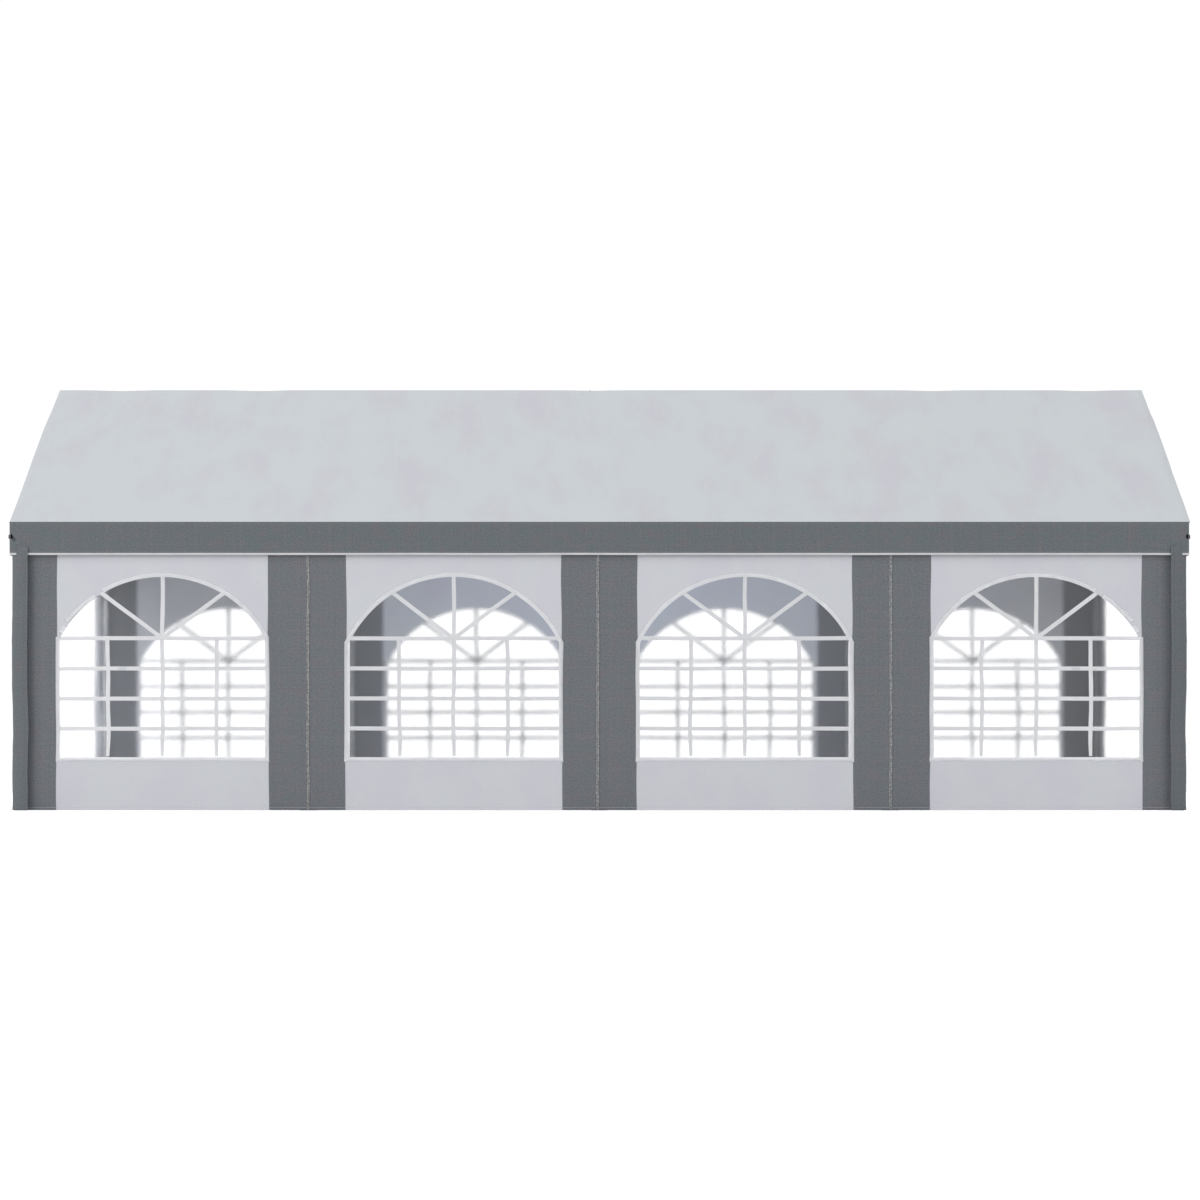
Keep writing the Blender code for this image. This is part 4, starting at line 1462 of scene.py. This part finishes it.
for end_name, end in ENDS.items():
    for side_name, side in SIDES.items():
        full = plan_length()
        runs = stops(0.0, full, 0.012, FLAP_HEM, FLAP_HEM + 0.0005, TONGUE_WIDTH)
        cut = runs.index(TONGUE_WIDTH)
        main = stops(WALL_BOTTOM, SLIT_BOTTOM, 0.03, *HEM_LINES)
        grids = (
            (runs, main),
            (runs[: cut + 1], stops(SLIT_BOTTOM, TONGUE_TOP, 0.008)),
            (runs[cut:], stops(SLIT_BOTTOM, FLAP_TOP, 0.008)),
        )
        flap = Patchwork()
        for index, (across, up) in enumerate(grids):
            points, cuts = [], []
            for z in up:
                line = []
                for run in across:
                    in_hem = run <= FLAP_HEM or z < WALL_BOTTOM + WALL_HEM
                    beside = 1e-6 if index == 2 and z > SLIT_BOTTOM else 0.0
                    lift = HEM_RISE if in_hem else 0.0
                    line.append(flap_point(end, side, run + beside, z, lift))
                points.append(line)
                cuts.append([(run, z) for run in across])
            flap.add(points, cuts=cuts)
        name = f"corner_flap_{end_name}_{side_name}"
        sheet = flap.sew(name, FLAP_FABRIC, "grey_sheet", thickness=SHEET, weld=0.00001)

# Rolled doors
# The doors are sheets as wide as the doorway, rolled up inwards from the ground and tied under
# the end bar. A roll is loose, sags between its ties and shows its turns at both ends.
roll_low, roll_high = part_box("door_roll_right")
ROLL_CENTRE = (roll_low + roll_high) / 2
ROLL_HALF = roll_high.y
ROLL_RADIUS = 0.0555
ROLL_CORE = 0.012
DOOR_HEIGHT = 1.95
DOOR_SHEET = 0.0008
TIES = (-1.25, 0.0, 1.25)
ROLL_SAG = 0.008
TURN_STEPS = 20

door_fabric = Fabric(
    "door_polyethylene", (0.421, 0.433, 0.460), (0.419, 0.416, 0.462), 0.30, 1.4, 0.84
)
DOOR_FABRIC = door_fabric.done()


def webbing_material():
    """Narrow woven strap, dark grey, with a twill that shows close up."""
    material, tree, shader = new_material("grey_webbing", 0.75)
    place = add_node(tree, "UVMap", {}, uv_map="cut").outputs[0]
    twill = add_node(tree, "TexWave", {"Vector": place, "Scale": 260.0}, bands_direction="DIAGONAL")
    connect(tree, blend_colours(tree, twill.outputs[1], (0.07, 0.075, 0.08), (0.15, 0.155, 0.16)), shader, "Base Color")
    bump = add_node(tree, "Bump", {"Strength": 0.5, "Distance": 0.0004, "Height": twill.outputs[1]})
    connect(tree, bump.outputs[0], shader, "Normal")
    return material


WEBBING = webbing_material()


def roll_place(y):
    """How far the roll sags at a place along it, and how much a tie pinches it there."""
    reach = TIES[1] - TIES[0]
    nearest = min(abs(y - tie) for tie in TIES)
    sag = ROLL_SAG * math.sin(math.pi * min(nearest, reach / 2) / reach) ** 2
    return sag, 1 - 0.13 * math.exp(-((nearest / 0.05) ** 2))


def door_point(end, run, y):
    """A point of the door sheet, run metres below its top edge."""
    hang = EAVE_Z - ROLL_CENTRE.z
    sag, pinch = roll_place(y)
    outside = ROLL_CENTRE.x + ROLL_RADIUS * pinch
    if run < hang:
        share = run / hang
        x = STRIP_X - 0.004 + (outside - STRIP_X + 0.004) * share
        return Vector((end * x, y, EAVE_Z - run - sag * share))
    rolled = run - hang
    total = DOOR_HEIGHT - hang
    middle_radius = (ROLL_RADIUS + ROLL_CORE) / 2
    full_angle = total / middle_radius
    pitch = (ROLL_RADIUS - ROLL_CORE) / full_angle
    angle = (ROLL_RADIUS - math.sqrt(ROLL_RADIUS**2 - 2 * pitch * rolled)) / pitch
    radius = (ROLL_RADIUS - pitch * angle) * pinch
    radius *= 1 + 0.05 * ripple(math.cos(angle), y / 0.4 + math.sin(angle), 1.0, 95.0 + end)
    x = ROLL_CENTRE.x + radius * math.cos(angle)
    z = ROLL_CENTRE.z - radius * math.sin(angle) - sag
    return Vector((end * x, y, z))


def tie_loop(end, y, out):
    """The path of a tie round the end bar and the roll, out metres from both."""
    sag, pinch = roll_place(y)
    circles = [
        (Vector((end * STATIONS[-1], EAVE_Z)), POLE_RADIUS + 0.001 + out),
        (Vector((end * ROLL_CENTRE.x, ROLL_CENTRE.z - sag)), ROLL_RADIUS * pinch * 1.03 + out),
    ]
    path = []
    for step in range(48):
        angle = 2 * math.pi * step / 48
        way = Vector((math.cos(angle), math.sin(angle)))
        centre, radius = max(circles, key=lambda c: c[0].dot(way) + c[1])
        path.append(centre + way * radius)
    return path


for end_name, end in ENDS.items():
    door = Patchwork()
    across = stops(-ROLL_HALF, ROLL_HALF, 0.06, *TIES)
    turns = (DOOR_HEIGHT - EAVE_Z + ROLL_CENTRE.z) / ((ROLL_RADIUS + ROLL_CORE) / 2) / (2 * math.pi)
    count = math.ceil(turns * TURN_STEPS)
    hang = EAVE_Z - ROLL_CENTRE.z
    runs = [hang * i / 3 for i in range(3)]
    runs += [hang + (DOOR_HEIGHT - hang) * i / count for i in range(count + 1)]
    rows = [[(y, run) for y in across] for run in runs]
    door.add([[door_point(end, run, y) for y, run in row] for row in rows], cuts=rows)
    name = f"rolled_door_{end_name}"
    sheet = door.sew(name, DOOR_FABRIC, "wall_sheet", [f"door_roll_{end_name}"], thickness=DOOR_SHEET)
    for index, y in enumerate(TIES, start=1):
        strap = Patchwork()
        inner, outer = tie_loop(end, y, 0.0012), tie_loop(end, y, 0.0028)
        rows = []
        for near, far in zip(inner, outer):
            row = []
            for place, offset in ((near, -0.010), (far, -0.010), (far, 0.010), (near, 0.010)):
                row.append(Vector((place.x, y + offset, place.y)))
            rows.append(row)
        strap.add(rows, around=True, closed=True)
        strap.sew(f"door_tie_{end_name}_{index}", WEBBING, "grey_sheet")

# Studio
# A pale floor that glows faintly, under a plain white surround, with large soft lamps on either
# side and behind and three weak ones inside. The camera stands low, square on to the long side.
CAMERA_DISTANCE = 25.13
CAMERA_HEIGHT = 0.141
CAMERA_SIDE = 0.04
LENS = 100.94
FRAME_PIXELS = 1200
AXIS_COLUMN = 605.15
AXIS_ROW = 790.0
LAMP_DISTANCE = 60.0
FLOOR_GLOW = 0.32

floor_mesh = bpy.data.meshes.new("studio_floor")
size = 150.0
floor_mesh.from_pydata(
    [(-size, -size, 0), (size, -size, 0), (size, size, 0), (-size, size, 0)], [], [(0, 1, 2, 3)]
)
floor = bpy.data.objects.new("studio_floor", floor_mesh)
bpy.context.scene.collection.objects.link(floor)
floor_material, tree, shader = new_material(
    "pale_floor", 0.9, Specular_IOR_Level=0.0, Emission_Strength=FLOOR_GLOW
)
shader.inputs["Base Color"].default_value = (0.93, 0.93, 0.93, 1.0)
seen = add_node(tree, "LightPath", {}).outputs["Is Camera Ray"]
connect(tree, seen, shader, "Emission Color")
floor_mesh.materials.append(floor_material)
floor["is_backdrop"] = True

world = bpy.data.worlds.new("studio")
world.use_nodes = True
world.node_tree.nodes["Background"].inputs["Color"].default_value = (1.0, 1.0, 1.0, 1.0)
world.node_tree.nodes["Background"].inputs["Strength"].default_value = 1.02
bpy.context.scene.world = world


def lamp(name, place, target, size, power, colour=(1.0, 1.0, 1.0)):
    light = bpy.data.lights.new(name, "AREA")
    light.shape = "DISK"
    light.size = size
    light.energy = power
    light.color = colour
    holder = bpy.data.objects.new(name, light)
    holder.location = place
    holder.rotation_mode = "QUATERNION"
    holder.rotation_quaternion = (Vector(target) - Vector(place)).to_track_quat("-Z", "Y")
    bpy.context.scene.collection.objects.link(holder)
    return holder


OUTER_LAMPS = (
    ("left_lamp", -55.0, 35.0, 0.50), ("right_lamp", 55.0, 35.0, 0.10), ("back_lamp", 180.0, 10.0, 0.03),
)
for name, turned, raised, strength in OUTER_LAMPS:
    turned, raised = math.radians(turned), math.radians(raised)
    level = math.cos(raised)
    way = Vector((math.sin(turned) * level, -math.cos(turned) * level, math.sin(raised)))
    power = strength * (math.pi * LAMP_DISTANCE) ** 2
    light = lamp(name, way * LAMP_DISTANCE, (0.0, 0.0, 0.0), 50.0, power)
light.visible_camera = False
light.visible_glossy = False

INSIDE_COLOUR = (0.80, 0.87, 1.0)
inside = lamp("inside_lamp", (0.1, -1.75, 1.2), (0.1, 2.0, 1.1), 3.6, 32.0, INSIDE_COLOUR)
corner = lamp("corner_lamp", (-3.75, 0.9, 0.85), (-3.96, 2.0, 0.85), 0.3, 1.2, INSIDE_COLOUR)
strip_light = lamp("strip_lamp", (-3.2, 1.78, 1.05), (-4.03, 1.90, 1.05), 0.12, 1.25)
for light, height, spread in ((inside, 0.9, 100.0), (corner, 1.2, 100.0), (strip_light, 1.5, 40.0)):
    light.data.shape = "RECTANGLE"
    light.data.size_y = height
    light.data.spread = math.radians(spread)
    light.visible_glossy = light is not inside
    light.visible_camera = False
    light.visible_transmission = False

camera_data = bpy.data.cameras.new("camera")
camera_data.lens = LENS
camera_data.sensor_width = 36.0
camera_data.shift_x = 0.5 - AXIS_COLUMN / FRAME_PIXELS
camera_data.shift_y = AXIS_ROW / FRAME_PIXELS - 0.5
camera_data.clip_end = 400.0
camera = bpy.data.objects.new("camera", camera_data)
camera.location = (CAMERA_SIDE, -CAMERA_DISTANCE, CAMERA_HEIGHT)
camera.rotation_euler = (math.pi / 2, 0.0, 0.0)
bpy.context.scene.collection.objects.link(camera)
bpy.context.scene.camera = camera
bpy.context.scene.view_settings.view_transform = "Standard"

low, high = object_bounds()
